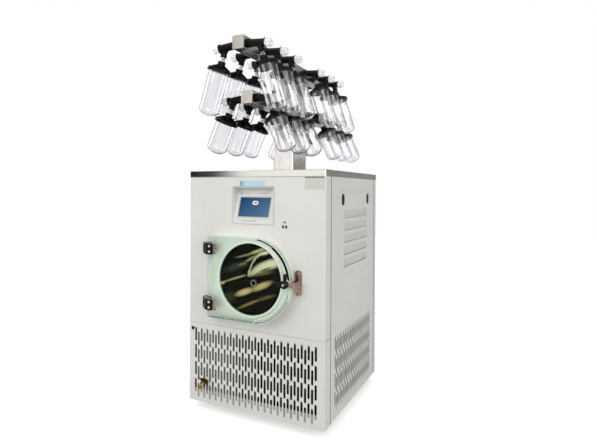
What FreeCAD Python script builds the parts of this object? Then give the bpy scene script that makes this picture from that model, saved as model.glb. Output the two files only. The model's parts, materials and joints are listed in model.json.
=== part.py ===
import FreeCAD, Part
import math
import os

from FreeCAD import Placement, Rotation, Vector

# Floor-standing manifold freeze dryer, in millimetres.
# Origin: on the floor under the middle of the cabinet. +X is to the right, +Y to the back, +Z up.

# ------------------------------------------------------------------ driving dimensions
cabinet_width = 680.0
cabinet_depth = 700.0
cabinet_height = 1023.0         # sheet-metal casing, without feet and worktop
foot_height = 40.0
worktop_thickness = 27.0

sheet = 2.0                     # casing and tray sheet
corner_bend = 8.0               # outside radius of the casing's vertical corners
panel_gap = 1.5                 # open seam between two casing panels
lip_depth = 12.0                # stiffening lip along a panel's edge
front_return = 60.0             # how far the front panels wrap round the sides
rear_return = 42.0
grille_height = 358.0           # lower front panel, from the casing's bottom edge
fit_clearance = 0.3             # between parts that only lie next to each other
running_clearance = 0.05        # radial, between a shaft and its bore

frame_angle = 30.0
frame_thickness = 3.0
tray_upstand = 57.0

slot_length = 62.0
slot_width = 10.4
slot_pitch_across = 15.8
slot_pitch_up = 78.3
slot_stagger = 20.0             # every second column sits this much lower
slot_rows = 4
grille_columns = int((cabinet_width - 60.0) / slot_pitch_across)
grille_top_margin = 22.5        # from the seam down to the first row of slots
side_slot_columns = int((cabinet_depth - front_return - rear_return - 100.0) / slot_pitch_across)
side_slot_rise = 14.0           # the side slots start this much higher

louvre_count = 5
louvre_length = 322.0
louvre_height = 36.0
louvre_pitch = 54.0
louvre_depth = 6.0
louvre_top = 877.0              # upper edge of the top louvre, above the casing's bottom edge
louvre_middle = 22.0            # middle of the louvres, behind the cabinet's middle
swage_width = 3.0
swage_depth = 0.8
swage_lines = ((593.0, 186.0, 15.0), (958.0, 217.5, 10.5))   # level above the casing's bottom, reach, shift
grip_width = 28.0
grip_height = 46.0
grip_spacing = 350.0
grip_level = 925.0

chamber_radius = 150.0
chamber_wall = 3.0
chamber_level = 584.0           # centre of the chamber above the casing's bottom edge
chamber_depth = 200.0
chamber_knuckle = 18.0
drain_port_left = 100.0         # from the chamber's axis
drain_port_drop = 62.0
duct_radius = 30.0
duct_wall = 2.0
duct_bend = 70.0
duct_inset = 40.0               # duct's axis from the drum's closed end
flange_thickness = 18.0
seal_gap = 6.0                  # between flange and closed door
door_thickness = 25.0
door_left = chamber_radius + 50.0       # from the chamber's axis to the hinge edge
door_right = chamber_radius + 55.0      # from the chamber's axis to the latch edge
door_half_height = chamber_radius + 28.0
coil_tube_radius = 5.0
coil_turns = 4
coil_gap_degrees = 16.0         # between the two headers

hinge_offset = chamber_radius - 28.0    # each hinge, above and below the chamber's axis
hinge_height = 50.0
hinge_pin_radius = 4.0
hinge_knuckle_radius = 7.5
hinge_leaf = 5.0
hinge_leaf_reach = 44.0         # from the door's hinge edge to the end of a leaf
hinge_bracket_reach = 36.0      # from the pin to the outer end of a bracket
hinge_standoff = 16.0           # pin axis to the hinge edge of the door
hinge_bolt_radius = 3.0
hinge_bolt_length = 16.0

latch_inset = 20.0              # spindle axis to the latch edge of the door
latch_hub_radius = 17.0
latch_spindle_radius = 6.0
latch_reach = 54.0
tongue_length = 42.0
tongue_thickness = 4.6
tongue_width = 13.0
keeper_width = 28.0
keeper_height = 104.0
keeper_plate = 8.0
keeper_gap = 3.0                # between the door's latch edge and the keeper

screen_width = 152.0
screen_height = 86.0
screen_thickness = 6.0
bezel_width = screen_width + 30.0
bezel_height = screen_height + 13.0
bezel_rise = 2.0
bezel_foot = 1.0                # between the recess's sill and the bezel
recess_width = bezel_width + 24.0
recess_height = 162.0
recess_level = 818.0            # lower edge of the display recess above the casing's bottom edge
recess_depth = 40.0
recess_sill = 24.0

button_radius = 6.0
button_offset = 155.0
button_level = 831.0
button_travel = 2.0
lock_radius = 6.0
lock_inset = 23.0               # from the cabinet's left edge
lock_drop = 28.0                # below the seam between the front panels
lock_cam_length = 18.0
lock_cam_width = 10.0

bar_size = 55.0
bar_wall = 3.0
bar_end = 33.0                  # from the last port to the bar's end
port_pitch = 135.0
ports_per_arm = 3
upper_bar_level = 518.0         # bar centres above the worktop
lower_bar_level = 307.0
post_width = 106.0
post_depth = 150.0
post_foot = 5.0

port_droop = 5.0                # degrees that each port falls towards its outer end
nipple_radius = 10.0
nipple_length = 30.0
nipple_wall = 2.5
barrel_radius = 16.0
barrel_length = 84.0
barrel_rim_radius = 19.5
barrel_rim = 6.0
leg_position = 55.0             # along the port, from the bar's face
leg_radius = 12.0
leg_length = 42.0
knob_radius = 18.0
knob_length = 28.0
knob_stem_radius = 8.0
knob_stem = 20.0

upper_splay = 18.0              # degrees between a flask's axis and the vertical
lower_splay = 24.5
adapter_radius = 10.0
adapter_visible = 18.0
adapter_insert = 12.0
lid_neck_radius = 16.0
lid_neck = 22.0
lid_dome = 18.0
lid_skirt = 6.0
flask_radius = 43.5
flask_wall = 2.5
flask_rim_radius = flask_radius + 2.0
lid_radius = flask_rim_radius + 6.5
long_flask = 195.0
short_flask = 147.0
flask_knuckle = 24.0
flask_crown = 60.0

foot_radius = 32.0
foot_stem_radius = 6.0
side_foot_inset = 91.0
front_foot_inset = 104.0
rear_foot_inset = 42.0

compressor_radius = 88.0
compressor_height = 250.0
condenser_width = 340.0
condenser_height = 290.0
condenser_depth = 50.0
fan_radius = 118.0
fan_hub_radius = 34.0
fan_blades = 5
motor_radius = 38.0
motor_length = 62.0

pump_port_radius = 13.0
pump_port_wall = 2.0
pump_port_rim = 20.0
inlet_width = 28.0              # body of the mains inlet
inlet_height = 20.0
inlet_depth = 22.0
inlet_wall = 2.5
drain_pipe_radius = 7.0
drain_bore = 4.5
drain_stem_reach = 26.0         # from the grille's face to the handle's pivot
drain_stem_radius = 3.0
drain_bonnet_height = 15.0
drain_handle_length = 36.0
drain_spout_length = 22.0

# ------------------------------------------------------------------ derived places
half_width = cabinet_width / 2
half_depth = cabinet_depth / 2
front = -half_depth
base = foot_height
seam = base + grille_height
casing_top = base + cabinet_height
worktop_top = casing_top + worktop_thickness
chamber_z = base + chamber_level
flange_front = front - flange_thickness
door_back = flange_front - seal_gap
door_front = door_back - door_thickness
chamber_back = flange_front + chamber_depth
coil_start = front + frame_angle
coil_end = chamber_back - duct_inset - duct_radius - 2 * coil_tube_radius
coil_pitch = (coil_end - coil_start) / (coil_turns - 1)
hinge_x = -door_left - hinge_standoff
hinge_y = (door_back + door_front) / 2
latch_x = door_right - latch_inset
recess_low = base + recess_level
recess_high = recess_low + recess_height
port_span = port_pitch * ports_per_arm
bar_half = port_span + bar_end
tier_offset = port_pitch / 4    # upper bar forward, lower bar back, so the tiers interleave
upper_z = worktop_top + upper_bar_level
lower_z = worktop_top + lower_bar_level
post_top = upper_z - bar_size / 2
tray_top = base + tray_upstand
ring_bottom = casing_top - frame_angle
side_front = front + front_return + panel_gap
side_rear = half_depth - rear_return - panel_gap

TIERS = {
    "upper": (-tier_offset, upper_z, upper_splay, long_flask),
    "lower": (tier_offset, lower_z, lower_splay, short_flask),
}
SIDES = {"left": -1, "right": 1}


# ------------------------------------------------------------------ shape helpers
def box(x0, x1, y0, y1, z0, z1):
    return Part.makeBox(x1 - x0, y1 - y0, z1 - z0, Vector(x0, y0, z0))


def rod(start, end, radius):
    """Solid cylinder between two points."""
    way = end - start
    return Part.makeCylinder(radius, way.Length, start, way)


def tube(start, end, outer, inner):
    return rod(start, end, outer).cut(rod(start, end, inner))


def rounded_wire(points, radii):
    """Closed wire through the points, with each corner rounded to its own radius."""
    edges = []
    ends = []
    count = len(points)
    for i, corner in enumerate(points):
        back = (points[i - 1] - corner).normalize()
        ahead = (points[(i + 1) % count] - corner).normalize()
        radius = radii[i]
        if radius <= 0:
            ends.append((corner, None, corner))
            continue
        half = back.getAngle(ahead) / 2
        trim = radius / math.tan(half)
        bisector = (back + ahead).normalize()
        middle = corner + bisector * (radius / math.sin(half) - radius)
        ends.append((corner + back * trim, middle, corner + ahead * trim))
    for i, (enter, middle, leave) in enumerate(ends):
        if middle is not None:
            edges.append(Part.Arc(enter, middle, leave).toShape())
        following = ends[(i + 1) % count][0]
        if leave.distanceToPoint(following) > 1e-6:
            edges.append(Part.makeLine(leave, following))
    return Part.Wire(edges)


def prism(points, radii, way):
    return Part.Face(rounded_wire(points, radii)).extrude(way)


def rounded_box(x0, x1, y0, y1, z0, z1, radius):
    """Box with its four upright edges rounded."""
    points = [Vector(x0, y0, z0), Vector(x1, y0, z0), Vector(x1, y1, z0), Vector(x0, y1, z0)]
    return prism(points, [radius] * 4, Vector(0, 0, z1 - z0))


def revolve(profile):
    """Solid of revolution about Z from a closed list of (radius, height) corners."""
    wire = Part.makePolygon([Vector(r, 0, h) for r, h in profile + profile[:1]])
    return Part.Face(wire).revolve(Vector(0, 0, 0), Vector(0, 0, 1), 360)


def along(origin, direction):
    """Placement that takes local +Z to the direction, and keeps local Y level."""
    z_axis = Vector(direction).normalize()
    y_axis = Vector(0, 1, 0)
    if abs(z_axis.dot(y_axis)) > 0.9:
        y_axis = Vector(1, 0, 0)
    x_axis = y_axis.cross(z_axis).normalize()
    y_axis = z_axis.cross(x_axis)
    return Placement(origin, Rotation(x_axis, y_axis, z_axis, "ZXY"))


def placed(shape, placement):
    """Copy of the shape, moved from its own frame to the placement."""
    copy = shape.copy()
    copy.transformShape(placement.toMatrix(), True)
    return copy


def fuse(shapes):
    joined = shapes[0]
    if len(shapes) > 1:
        joined = shapes[0].multiFuse(shapes[1:])
    return joined.removeSplitter()


def save(name, shape):
    os.makedirs("parts", exist_ok=True)
    shape.exportStep(f"parts/{name}.step")


# ------------------------------------------------------------------ casing
def wrap_panel(y_face, y_end, z0, z1):
    """U-shaped folded panel: a face with two returns, each ending in an inward lip."""
    inward = math.copysign(sheet, y_end - y_face)
    right = [
        (half_width, y_face, corner_bend),
        (half_width, y_end, 0),
        (half_width - sheet, y_end, 0),
        (half_width - sheet, y_face + inward, corner_bend - sheet),
    ]
    corners = right + [(-x, y, radius) for x, y, radius in reversed(right)]
    points = [Vector(x, y, z0) for x, y, _ in corners]
    skin = prism(points, [radius for _, _, radius in corners], Vector(0, 0, z1 - z0))
    low = max(z0, tray_top + fit_clearance)
    high = min(z1, ring_bottom - fit_clearance)
    lips = []
    for side in (-1, 1):
        x0, x1 = sorted((side * half_width, side * (half_width - lip_depth)))
        y0, y1 = sorted((y_end, y_end - inward))
        lips.append(box(x0, x1, y0, y1, low, high))
    return fuse([skin] + lips)


def slot_tools(columns, z_top, centre, across, through):
    """Rows of upright slots with round ends, side by side along across and cut along through."""
    radius = slot_width / 2
    reach = slot_length / 2
    corners = [(-radius, -reach), (radius, -reach), (radius, reach), (-radius, reach)]
    tools = []
    for column in range(columns):
        offset = (column - (columns - 1) / 2) * slot_pitch_across
        drop = slot_stagger * (column % 2)
        for row in range(slot_rows):
            level = z_top - reach - drop - row * slot_pitch_up
            middle = centre + across * offset + Vector(0, 0, level)
            points = [middle + across * x + Vector(0, 0, up) for x, up in corners]
            tools.append(prism(points, [radius * 0.999] * 4, through))
    return tools


def make_front_panel():
    panel = wrap_panel(front, front + front_return, seam + panel_gap / 2, casing_top)
    mouth = rod(
        Vector(0, front - sheet, chamber_z),
        Vector(0, front + 2 * sheet, chamber_z),
        chamber_radius + chamber_wall + fit_clearance,
    )
    return panel.cut(Part.makeCompound([mouth, recess_block(fit_clearance), button_hole()]))


def recess_block(grow=0.0):
    """Outer block of the display housing, with its two lower corners rounded."""
    reach = recess_width / 2 + grow
    low = recess_low - grow
    high = recess_high + grow
    corners = [(-reach, low), (reach, low), (reach, high), (-reach, high)]
    points = [Vector(x, front - 1.0 - grow, z) for x, z in corners]
    depth = recess_depth + 2 * sheet + 1.0 + grow
    return prism(points, [12.0, 12.0, 3.0, 3.0], Vector(0, depth, 0))


def button_hole():
    z = base + button_level
    radius = button_radius + fit_clearance
    return rod(Vector(button_offset, front - sheet, z), Vector(button_offset, front + 2 * sheet, z), radius)


def lock_centre():
    return Vector(-half_width + lock_inset, front, seam - lock_drop)


def drain_centre():
    return Vector(-half_width + 100.0, front, base + 96.0)


def make_grille_panel():
    panel = wrap_panel(front, front + front_return, base, seam - panel_gap / 2)
    face = Vector(0, front - sheet, 0)
    across = Vector(1, 0, 0)
    through = Vector(0, 3 * sheet, 0)
    tools = slot_tools(grille_columns, seam - grille_top_margin, face, across, through)
    lock = lock_centre()
    drain = drain_centre()
    ahead = Vector(0, sheet, 0)
    tools.append(rod(lock - ahead, lock + through, lock_radius + running_clearance))
    tools.append(rod(drain - ahead, drain + through, drain_pipe_radius + 1.0 + fit_clearance))
    return panel.cut(Part.makeCompound(tools))


def louvre(z_top):
    """Inward louvre on the right-hand panel: a sloping blade between two cheeks, open at its foot."""
    outer = half_width
    y0 = louvre_middle - louvre_length / 2
    y1 = louvre_middle + louvre_length / 2
    z_low = z_top - louvre_height
    blade = [
        Vector(outer, y0, z_top),
        Vector(outer - louvre_depth, y0, z_low),
        Vector(outer - louvre_depth - sheet, y0, z_low),
        Vector(outer - sheet, y0, z_top),
    ]
    cheek = [
        Vector(outer, y0, z_top),
        Vector(outer, y0, z_low),
        Vector(outer - louvre_depth - sheet, y0, z_low),
        Vector(outer - sheet, y0, z_top),
    ]
    span = prism(blade, [0] * 4, Vector(0, y1 - y0, 0))
    near = prism(cheek, [0] * 4, Vector(0, sheet, 0))
    far = near.copy()
    far.translate(Vector(0, y1 - y0 - sheet, 0))
    return [span, near, far]


def make_right_side_panel():
    y0 = side_front
    y1 = side_rear
    edge = half_width
    profile = [
        Vector(edge, y0, base),
        Vector(edge, y1, base),
        Vector(edge - sheet, y1, base),
        Vector(edge - sheet, y0, base),
    ]
    skin = prism(profile, [0] * 4, Vector(0, 0, cabinet_height))
    lip_low = tray_top + fit_clearance
    lip_high = ring_bottom - fit_clearance
    lips = [
        box(edge - lip_depth, edge, y0, y0 + sheet, lip_low, lip_high),
        box(edge - lip_depth, edge, y1 - sheet, y1, lip_low, lip_high),
    ]
    inside = Vector(edge - 2 * sheet, 0, 0)
    z_top = seam - grille_top_margin + side_slot_rise
    tools = slot_tools(side_slot_columns, z_top, inside, Vector(0, 1, 0), Vector(3 * sheet, 0, 0))
    for side in (-1, 1):
        middle = louvre_middle + side * grip_spacing / 2
        z = base + grip_level
        points = []
        for across, up in ((-1, -1), (1, -1), (1, 1), (-1, 1)):
            y = middle + across * grip_width / 2
            points.append(Vector(edge - 2 * sheet, y, z + up * grip_height / 2))
        tools.append(prism(points, [grip_width * 0.42] * 4, Vector(3 * sheet, 0, 0)))
    for level, reach, shift in swage_lines:
        middle = louvre_middle + shift
        z = base + level
        half = swage_width / 2
        y_from = middle - reach
        tools.append(box(edge - swage_depth, edge + sheet, y_from, y_from + 2 * reach, z - half, z + half))
    blades = []
    for index in range(louvre_count):
        top = base + louvre_top - index * louvre_pitch
        blades += louvre(top)
        y_from = louvre_middle - louvre_length / 2
        y_to = louvre_middle + louvre_length / 2
        tools.append(box(edge - 2 * sheet, edge + sheet, y_from, y_to, top - louvre_height, top))
    return fuse([skin.cut(Part.makeCompound(tools))] + lips + blades)


def mirrored(shape):
    return shape.mirror(Vector(0, 0, 0), Vector(1, 0, 0))


def pump_port_centre():
    return Vector(190.0, half_depth, base + 640.0)


def inlet_centre():
    return Vector(-220.0, half_depth, base + 130.0)


def make_rear_panel():
    panel = wrap_panel(half_depth, half_depth - rear_return, base, casing_top)
    port = pump_port_centre()
    inlet = inlet_centre()
    through = Vector(0, 2 * sheet, 0)
    port_radius = pump_port_radius + pump_port_wall + fit_clearance
    port_hole = rod(port - through, port + through, port_radius)
    reach_x = inlet_width / 2 + fit_clearance
    reach_z = inlet_height / 2 + fit_clearance
    inlet_hole = box(
        inlet.x - reach_x, inlet.x + reach_x, inlet.y - 2 * sheet, inlet.y + sheet,
        inlet.z - reach_z, inlet.z + reach_z)
    return panel.cut(Part.makeCompound([port_hole, inlet_hole]))


def make_worktop():
    """Folded stainless pan, stiffened below, with a hole where the manifold duct comes up."""
    outer = rounded_box(-half_width, half_width, front, half_depth, casing_top, worktop_top, 4.0)
    level = [edge for edge in outer.Edges if edge.BoundBox.ZLength < 1e-6]
    rim = [edge for edge in level if abs(edge.BoundBox.ZMin - worktop_top) < 1e-6]
    outer = outer.makeFillet(2.5, rim)
    inner = rounded_box(
        -half_width + sheet, half_width - sheet, front + sheet, half_depth - sheet,
        casing_top - 1, worktop_top - sheet, 2.0,
    )
    shell = outer.cut(inner)
    ribs = []
    for side in (-1, 1):
        x = side * (post_width / 2 - 8.0)
        ribs.append(box(x - 8, x + 8, front + sheet, half_depth - sheet, casing_top, worktop_top - sheet))
    hole = rod(Vector(0, 0, casing_top - 1), Vector(0, 0, worktop_top + 1), duct_radius + fit_clearance)
    return fuse([shell] + ribs).cut(hole)


def make_frame():
    """Welded frame: floor tray, four angle posts, top ring, chamber rail and beams under the manifold."""
    x = half_width - sheet
    y = half_depth - sheet
    tray = rounded_box(-x, x, -y, y, base, base + tray_upstand, corner_bend - sheet)
    hollow = rounded_box(
        -x + sheet, x - sheet, -y + sheet, y - sheet,
        base + sheet, base + tray_upstand + 1, corner_bend - 2 * sheet,
    )
    pieces = [tray.cut(hollow)]
    for side_x in (-1, 1):
        for side_y in (-1, 1):
            pieces.append(angle_post(side_x, side_y))
    ring = rounded_box(-x, x, -y, y, casing_top - frame_angle, casing_top, corner_bend - sheet)
    top_opening = box(
        -x + frame_angle, x - frame_angle, -y + frame_angle, y - frame_angle,
        casing_top - frame_angle - 1, casing_top + 1,
    )
    below = box(
        -x + frame_thickness, x - frame_thickness, -y + frame_thickness, y - frame_thickness,
        casing_top - frame_angle - 1, casing_top - frame_thickness,
    )
    pieces.append(ring.cut(top_opening).cut(below))
    rail_z = seam - frame_angle
    rail_x = x - frame_angle / 2
    pieces.append(box(-rail_x, rail_x, -y, -y + frame_thickness, rail_z, seam))
    for side in (-1, 1):
        centre = side * (duct_radius + 22.0)
        pieces.append(box(-x, x, centre - 10, centre + 10, casing_top - frame_angle, casing_top))
    lock = lock_centre()
    reach = lock_cam_width / 2 + 3.0
    tools = [box(
        lock.x - reach, lock.x + lock_cam_length + 2.0, front, front + frame_angle / 2,
        lock.z - reach, lock.z + reach,
    )]
    for foot in foot_places():
        tools.append(rod(foot, foot + Vector(0, 0, base + 2 * sheet), foot_stem_radius + fit_clearance))
    return fuse(pieces).cut(Part.makeCompound(tools))


def angle_post(side_x, side_y):
    """L-section post in one corner, its outer edge rounded to lie inside the panel's bend."""
    x = half_width - sheet
    y = half_depth - sheet
    a = frame_angle
    t = frame_thickness
    corners = [(x, y), (x, y - a), (x - t, y - a), (x - t, y - t), (x - a, y - t), (x - a, y)]
    points = [Vector(side_x * px, side_y * py, base + sheet) for px, py in corners]
    radii = [corner_bend - sheet, 0, 0, 3.0, 0, 0]
    return prism(points, radii, Vector(0, 0, cabinet_height - sheet))


def foot_places():
    x = half_width - side_foot_inset
    rows = (front + front_foot_inset, half_depth - rear_foot_inset)
    return [Vector(side * x, y, 0) for side in (-1, 1) for y in rows]


def make_feet():
    """Levelling feet: a rubber-shod pad on a threaded stem, with collars either side of the tray."""
    inside = base + sheet
    stem = foot_stem_radius
    pad = revolve([
        (0, 0), (foot_radius - 2, 0), (foot_radius, 3), (foot_radius, 16), (foot_radius - 6, 24),
        (12, 28), (12, base), (stem, base), (stem, inside), (stem + 5, inside), (stem + 5, inside + 8),
        (stem, inside + 8), (stem, inside + 22), (0, inside + 22),
    ])
    feet = []
    for place in foot_places():
        foot = pad.copy()
        foot.translate(place)
        feet.append(foot)
    return Part.makeCompound(feet)


# ------------------------------------------------------------------ display, button, lock
def screen_placement(depth=0.0):
    """Middle of the sloping display face; local +Z points out of the face, local Y up the slope."""
    low = Vector(0, front, recess_low + recess_sill)
    high = Vector(0, front + recess_depth, recess_high - 4.0)
    slope = (high - low).normalize()
    normal = Vector(1, 0, 0).cross(slope)
    middle = low + slope * (bezel_height / 2 + bezel_foot) + normal * depth
    return Placement(middle, Rotation(Vector(1, 0, 0), slope, normal, "ZXY"))


def make_display_housing():
    """Moulded recess with a sloping face, leaning back at its top, and a raised bezel on it."""
    block = recess_block()
    reach = recess_width / 2 - 4.0
    profile = [
        Vector(-reach, front - 5, recess_low + recess_sill),
        Vector(-reach, front, recess_low + recess_sill),
        Vector(-reach, front + recess_depth, recess_high - 4.0),
        Vector(-reach, front - 5, recess_high - 4.0),
    ]
    pocket = prism(profile, [0] * 4, Vector(2 * reach, 0, 0))
    half = bezel_width / 2
    reach = bezel_height / 2
    bezel = rounded_box(-half, half, -reach, reach, -screen_thickness, bezel_rise, 4.0)
    body = fuse([block.cut(pocket), placed(bezel, screen_placement())])
    window = rounded_box(
        -screen_width / 2 - 0.2, screen_width / 2 + 0.2, -screen_height / 2 - 0.2, screen_height / 2 + 0.2,
        bezel_rise - screen_thickness - 0.6, bezel_rise + 1, 1.5,
    )
    return body.cut(placed(window, screen_placement()))


def make_touch_screen():
    glass = rounded_box(
        -screen_width / 2, screen_width / 2, -screen_height / 2, screen_height / 2,
        bezel_rise - screen_thickness - 0.6, bezel_rise - 0.6, 1.3,
    )
    return placed(glass, screen_placement())


def make_power_button():
    """Push button: a dished cap on a stem, with a collar behind the panel that keeps it in."""
    collar = -sheet - fit_clearance
    rise = button_travel + 2.0
    profile = [
        (0, rise), (button_radius - 1.5, rise + 0.5), (button_radius, rise - 0.4), (button_radius, collar),
        (button_radius + 2, collar), (button_radius + 2, collar - 5), (3, collar - 5), (3, collar - 12),
        (0, collar - 12),
    ]
    centre = Vector(button_offset, front, base + button_level)
    return placed(revolve(profile), along(centre, Vector(0, -1, 0)))


def make_panel_lock():
    """Quarter-turn lock: slotted head, core through the sheet and a cam that grips behind the post."""
    head = revolve([
        (0, 3), (lock_radius + 1, 3), (lock_radius + 2, 2), (lock_radius + 2, 0.2), (lock_radius, 0.2),
        (lock_radius, -10), (0, -10),
    ])
    slot = box(-1.2, 1.2, -4.5, 4.5, 1.0, 4.0)
    half = lock_cam_width / 2
    cam = rounded_box(-half, half, -half, lock_cam_length, -13, -10, 0.9 * half)
    core = fuse([head.cut(slot), cam])
    turn = Placement(lock_centre(), Rotation(Vector(1, 0, 0), Vector(0, 0, 1), Vector(0, -1, 0), "ZXY"))
    return placed(core, turn)


# ------------------------------------------------------------------ ice condenser chamber and door
def door_outline(y, inset=0.0):
    """D-shaped outline: straight hinge side, half-round latch side."""
    radius = door_half_height - inset
    turn_x = door_right - door_half_height
    left = -door_left + inset
    top = chamber_z + radius
    low = chamber_z - radius
    corner = 5.0
    bend = corner * (1 - math.sqrt(0.5))
    foot = Vector(left + corner, y, low)
    crown = Vector(left + corner, y, top)
    edges = [
        Part.Arc(Vector(left, y, low + corner), Vector(left + bend, y, low + bend), foot),
        Part.LineSegment(foot, Vector(turn_x, y, low)),
        Part.Arc(Vector(turn_x, y, low), Vector(turn_x + radius, y, chamber_z), Vector(turn_x, y, top)),
        Part.LineSegment(Vector(turn_x, y, top), crown),
        Part.Arc(crown, Vector(left + bend, y, top - bend), Vector(left, y, top - corner)),
        Part.LineSegment(Vector(left, y, top - corner), Vector(left, y, low + corner)),
    ]
    return Part.Wire([edge.toShape() for edge in edges])


def front_edges(shape, y):
    return [e for e in shape.Edges if e.BoundBox.YLength < 1e-6 and abs(e.BoundBox.YMin - y) < 1e-6]


def make_chamber_flange():
    plate = Part.Face(door_outline(front, 1.0)).extrude(Vector(0, -flange_thickness, 0))
    plate = plate.makeFillet(2.0, front_edges(plate, flange_front))
    radius = chamber_radius + chamber_wall + fit_clearance
    return plate.cut(rod(Vector(0, front + 1, chamber_z), Vector(0, flange_front - 1, chamber_z), radius))


def make_chamber_door():
    plate = Part.Face(door_outline(door_back)).extrude(Vector(0, -door_thickness, 0))
    plate = plate.makeChamfer(1.2, front_edges(plate, door_front))
    tools = [rod(
        Vector(latch_x, door_back + 1, chamber_z),
        Vector(latch_x, door_front - 1, chamber_z),
        latch_spindle_radius + running_clearance,
    )]
    for point in hinge_bolts():
        mouth = point + Vector(0, door_front - 1, 0)
        end = point + Vector(0, door_front + hinge_bolt_length + fit_clearance, 0)
        tools.append(rod(mouth, end, hinge_bolt_radius + 2 * running_clearance))
    return plate.cut(Part.makeCompound(tools))


def make_condenser_chamber():
    """Welded stainless drum with a flat, round-edged end, drain port and the duct to the manifold."""
    inner = drum_solid(chamber_radius, chamber_back)
    outer = drum_solid(chamber_radius + chamber_wall, chamber_back + chamber_wall)
    duct_y = chamber_back - duct_inset
    path = duct_path(duct_y)
    duct = pipe(path, duct_radius)
    bore = pipe(path, duct_radius - duct_wall)
    port = drain_port_centre()
    boss = rod(port - Vector(0, 3, 0), port + Vector(0, 40, 0), 15.0)
    hole = rod(port - Vector(0, 6, 0), port + Vector(0, 41, 0), 11.0)
    shell = fuse([outer, duct, boss])
    return shell.cut(Part.makeCompound([inner.fuse(bore), hole]))


def drum_solid(radius, back):
    axis = Vector(0, flange_front, chamber_z)
    drum = rod(axis, Vector(0, back, chamber_z), radius)
    rim = [e for e in drum.Edges if abs(e.BoundBox.YMin - back) < 1e-6 and e.BoundBox.YLength < 1e-6]
    return drum.makeFillet(chamber_knuckle, rim)


def drain_port_centre():
    return Vector(-drain_port_left, chamber_back, chamber_z - drain_port_drop)


def duct_path(start_y):
    """Up from the drum, back to the cabinet's middle, and up through the worktop."""
    level = chamber_z + chamber_radius + 60.0 + duct_bend
    start = Vector(0, start_y, chamber_z + chamber_radius - 8.0)
    radius = min(duct_bend, -start_y / 2)
    bend = radius * math.sqrt(0.5)
    first = Vector(0, start_y, level - radius)
    second = Vector(0, start_y + radius, level)
    third = Vector(0, -radius, level)
    fourth = Vector(0, 0, level + radius)
    first_middle = Vector(0, start_y + radius - bend, level - radius + bend)
    second_middle = Vector(0, -radius + bend, level + radius - bend)
    edges = [Part.makeLine(start, first), Part.Arc(first, first_middle, second).toShape()]
    if second.distanceToPoint(third) > 1e-6:
        edges.append(Part.makeLine(second, third))
    edges.append(Part.Arc(third, second_middle, fourth).toShape())
    edges.append(Part.makeLine(fourth, Vector(0, 0, worktop_top)))
    return Part.Wire(edges)


def pipe(path, radius):
    """Round bar along a path."""
    first = path.OrderedEdges[0]
    start = first.valueAt(first.FirstParameter)
    way = first.tangentAt(first.FirstParameter)
    section = Part.Wire([Part.makeCircle(radius, start, way)])
    return path.makePipeShell([section], True, False)


def make_evaporator_coil():
    """Refrigerant rings round the outside of the drum, fed by two headers along its flank."""
    radius = chamber_radius + chamber_wall + coil_tube_radius + fit_clearance
    gap = math.radians(coil_gap_degrees / 2)
    pieces = []
    for turn in range(coil_turns):
        section = Part.Face(Part.Wire([Part.makeCircle(
            coil_tube_radius, Vector(radius, coil_start + turn * coil_pitch, chamber_z), Vector(0, 0, 1))]))
        section.rotate(Vector(0, 0, chamber_z), Vector(0, 1, 0), coil_gap_degrees / 2)
        pieces.append(section.revolve(Vector(0, 0, chamber_z), Vector(0, 1, 0), 360 - coil_gap_degrees))
    for side in (-1, 1):
        header = 1.2 * coil_tube_radius
        reach = radius - coil_tube_radius + header
        x = reach * math.cos(gap)
        z = chamber_z + side * reach * math.sin(gap)
        pieces.append(rod(Vector(x, coil_start - 8, z), Vector(x, coil_end + 30, z), header))
    return fuse(pieces)


def make_door_seals():
    """Round face seal at the drum's mouth, and a bead along the half-round edge of the door."""
    face = Vector(0, flange_front, chamber_z)
    crown = Vector(0, door_back + fit_clearance, chamber_z)
    ring = tube(face, crown, chamber_radius + 14.0, chamber_radius + chamber_wall + 0.8)
    turn = Vector(door_right - door_half_height, 0, 0)
    bead = tube(face + turn, crown + turn, door_half_height - 1.2, door_half_height - 7.2)
    keep = box(turn.x, door_right, door_back - 1, flange_front + 1, chamber_z - 180, chamber_z + 180)
    return Part.makeCompound([ring, bead.common(keep)])


# ------------------------------------------------------------------ hinges
def hinge_levels():
    return [chamber_z - hinge_offset, chamber_z + hinge_offset]


def hinge_bolts():
    return [Vector(-door_left + 20.0, 0, z + up) for z in hinge_levels() for up in (-14.0, 14.0)]


def make_hinge_brackets():
    """Two cast brackets: a block on the panel and two ears round the pin."""
    brackets = []
    left = hinge_x - hinge_bracket_reach
    right = hinge_x + 8.0
    half = hinge_height / 2
    leaf_half = hinge_height / 4 + fit_clearance
    for z in hinge_levels():
        plate = rounded_box_front(left, right, front - 8.0, front, z - half, z + half, 4.0)
        block = box(left + 4, hinge_x - 12, front - 20.0, front - 6.0, z - half + 3, z + half - 3)
        pieces = [plate, block]
        for low, high in ((z - half, z - leaf_half), (z + leaf_half, z + half)):
            nose = rod(Vector(hinge_x, hinge_y, low), Vector(hinge_x, hinge_y, high), hinge_knuckle_radius)
            points = [
                Vector(left + 6, front - 6.0, low),
                Vector(right - 1, front - 6.0, low),
                Vector(hinge_x + hinge_knuckle_radius, hinge_y, low),
                Vector(hinge_x - hinge_knuckle_radius + 0.6, hinge_y - 2.0, low),
                Vector(left + 6, front - 22.0, low),
            ]
            pieces += [nose, prism(points, [0] * 5, Vector(0, 0, high - low))]
        bracket = fuse(pieces)
        middle = Vector(hinge_x, hinge_y, z)
        reach = Vector(0, 0, half + 1)
        bore = rod(middle - reach, middle + reach, hinge_pin_radius)
        brackets.append(bracket.cut(bore))
    return Part.makeCompound(brackets)


def rounded_box_front(x0, x1, y0, y1, z0, z1, radius):
    """Box with the four edges that run front to back rounded."""
    points = [Vector(x0, y0, z0), Vector(x1, y0, z0), Vector(x1, y0, z1), Vector(x0, y0, z1)]
    return prism(points, [radius] * 4, Vector(0, y1 - y0, 0))


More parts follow.
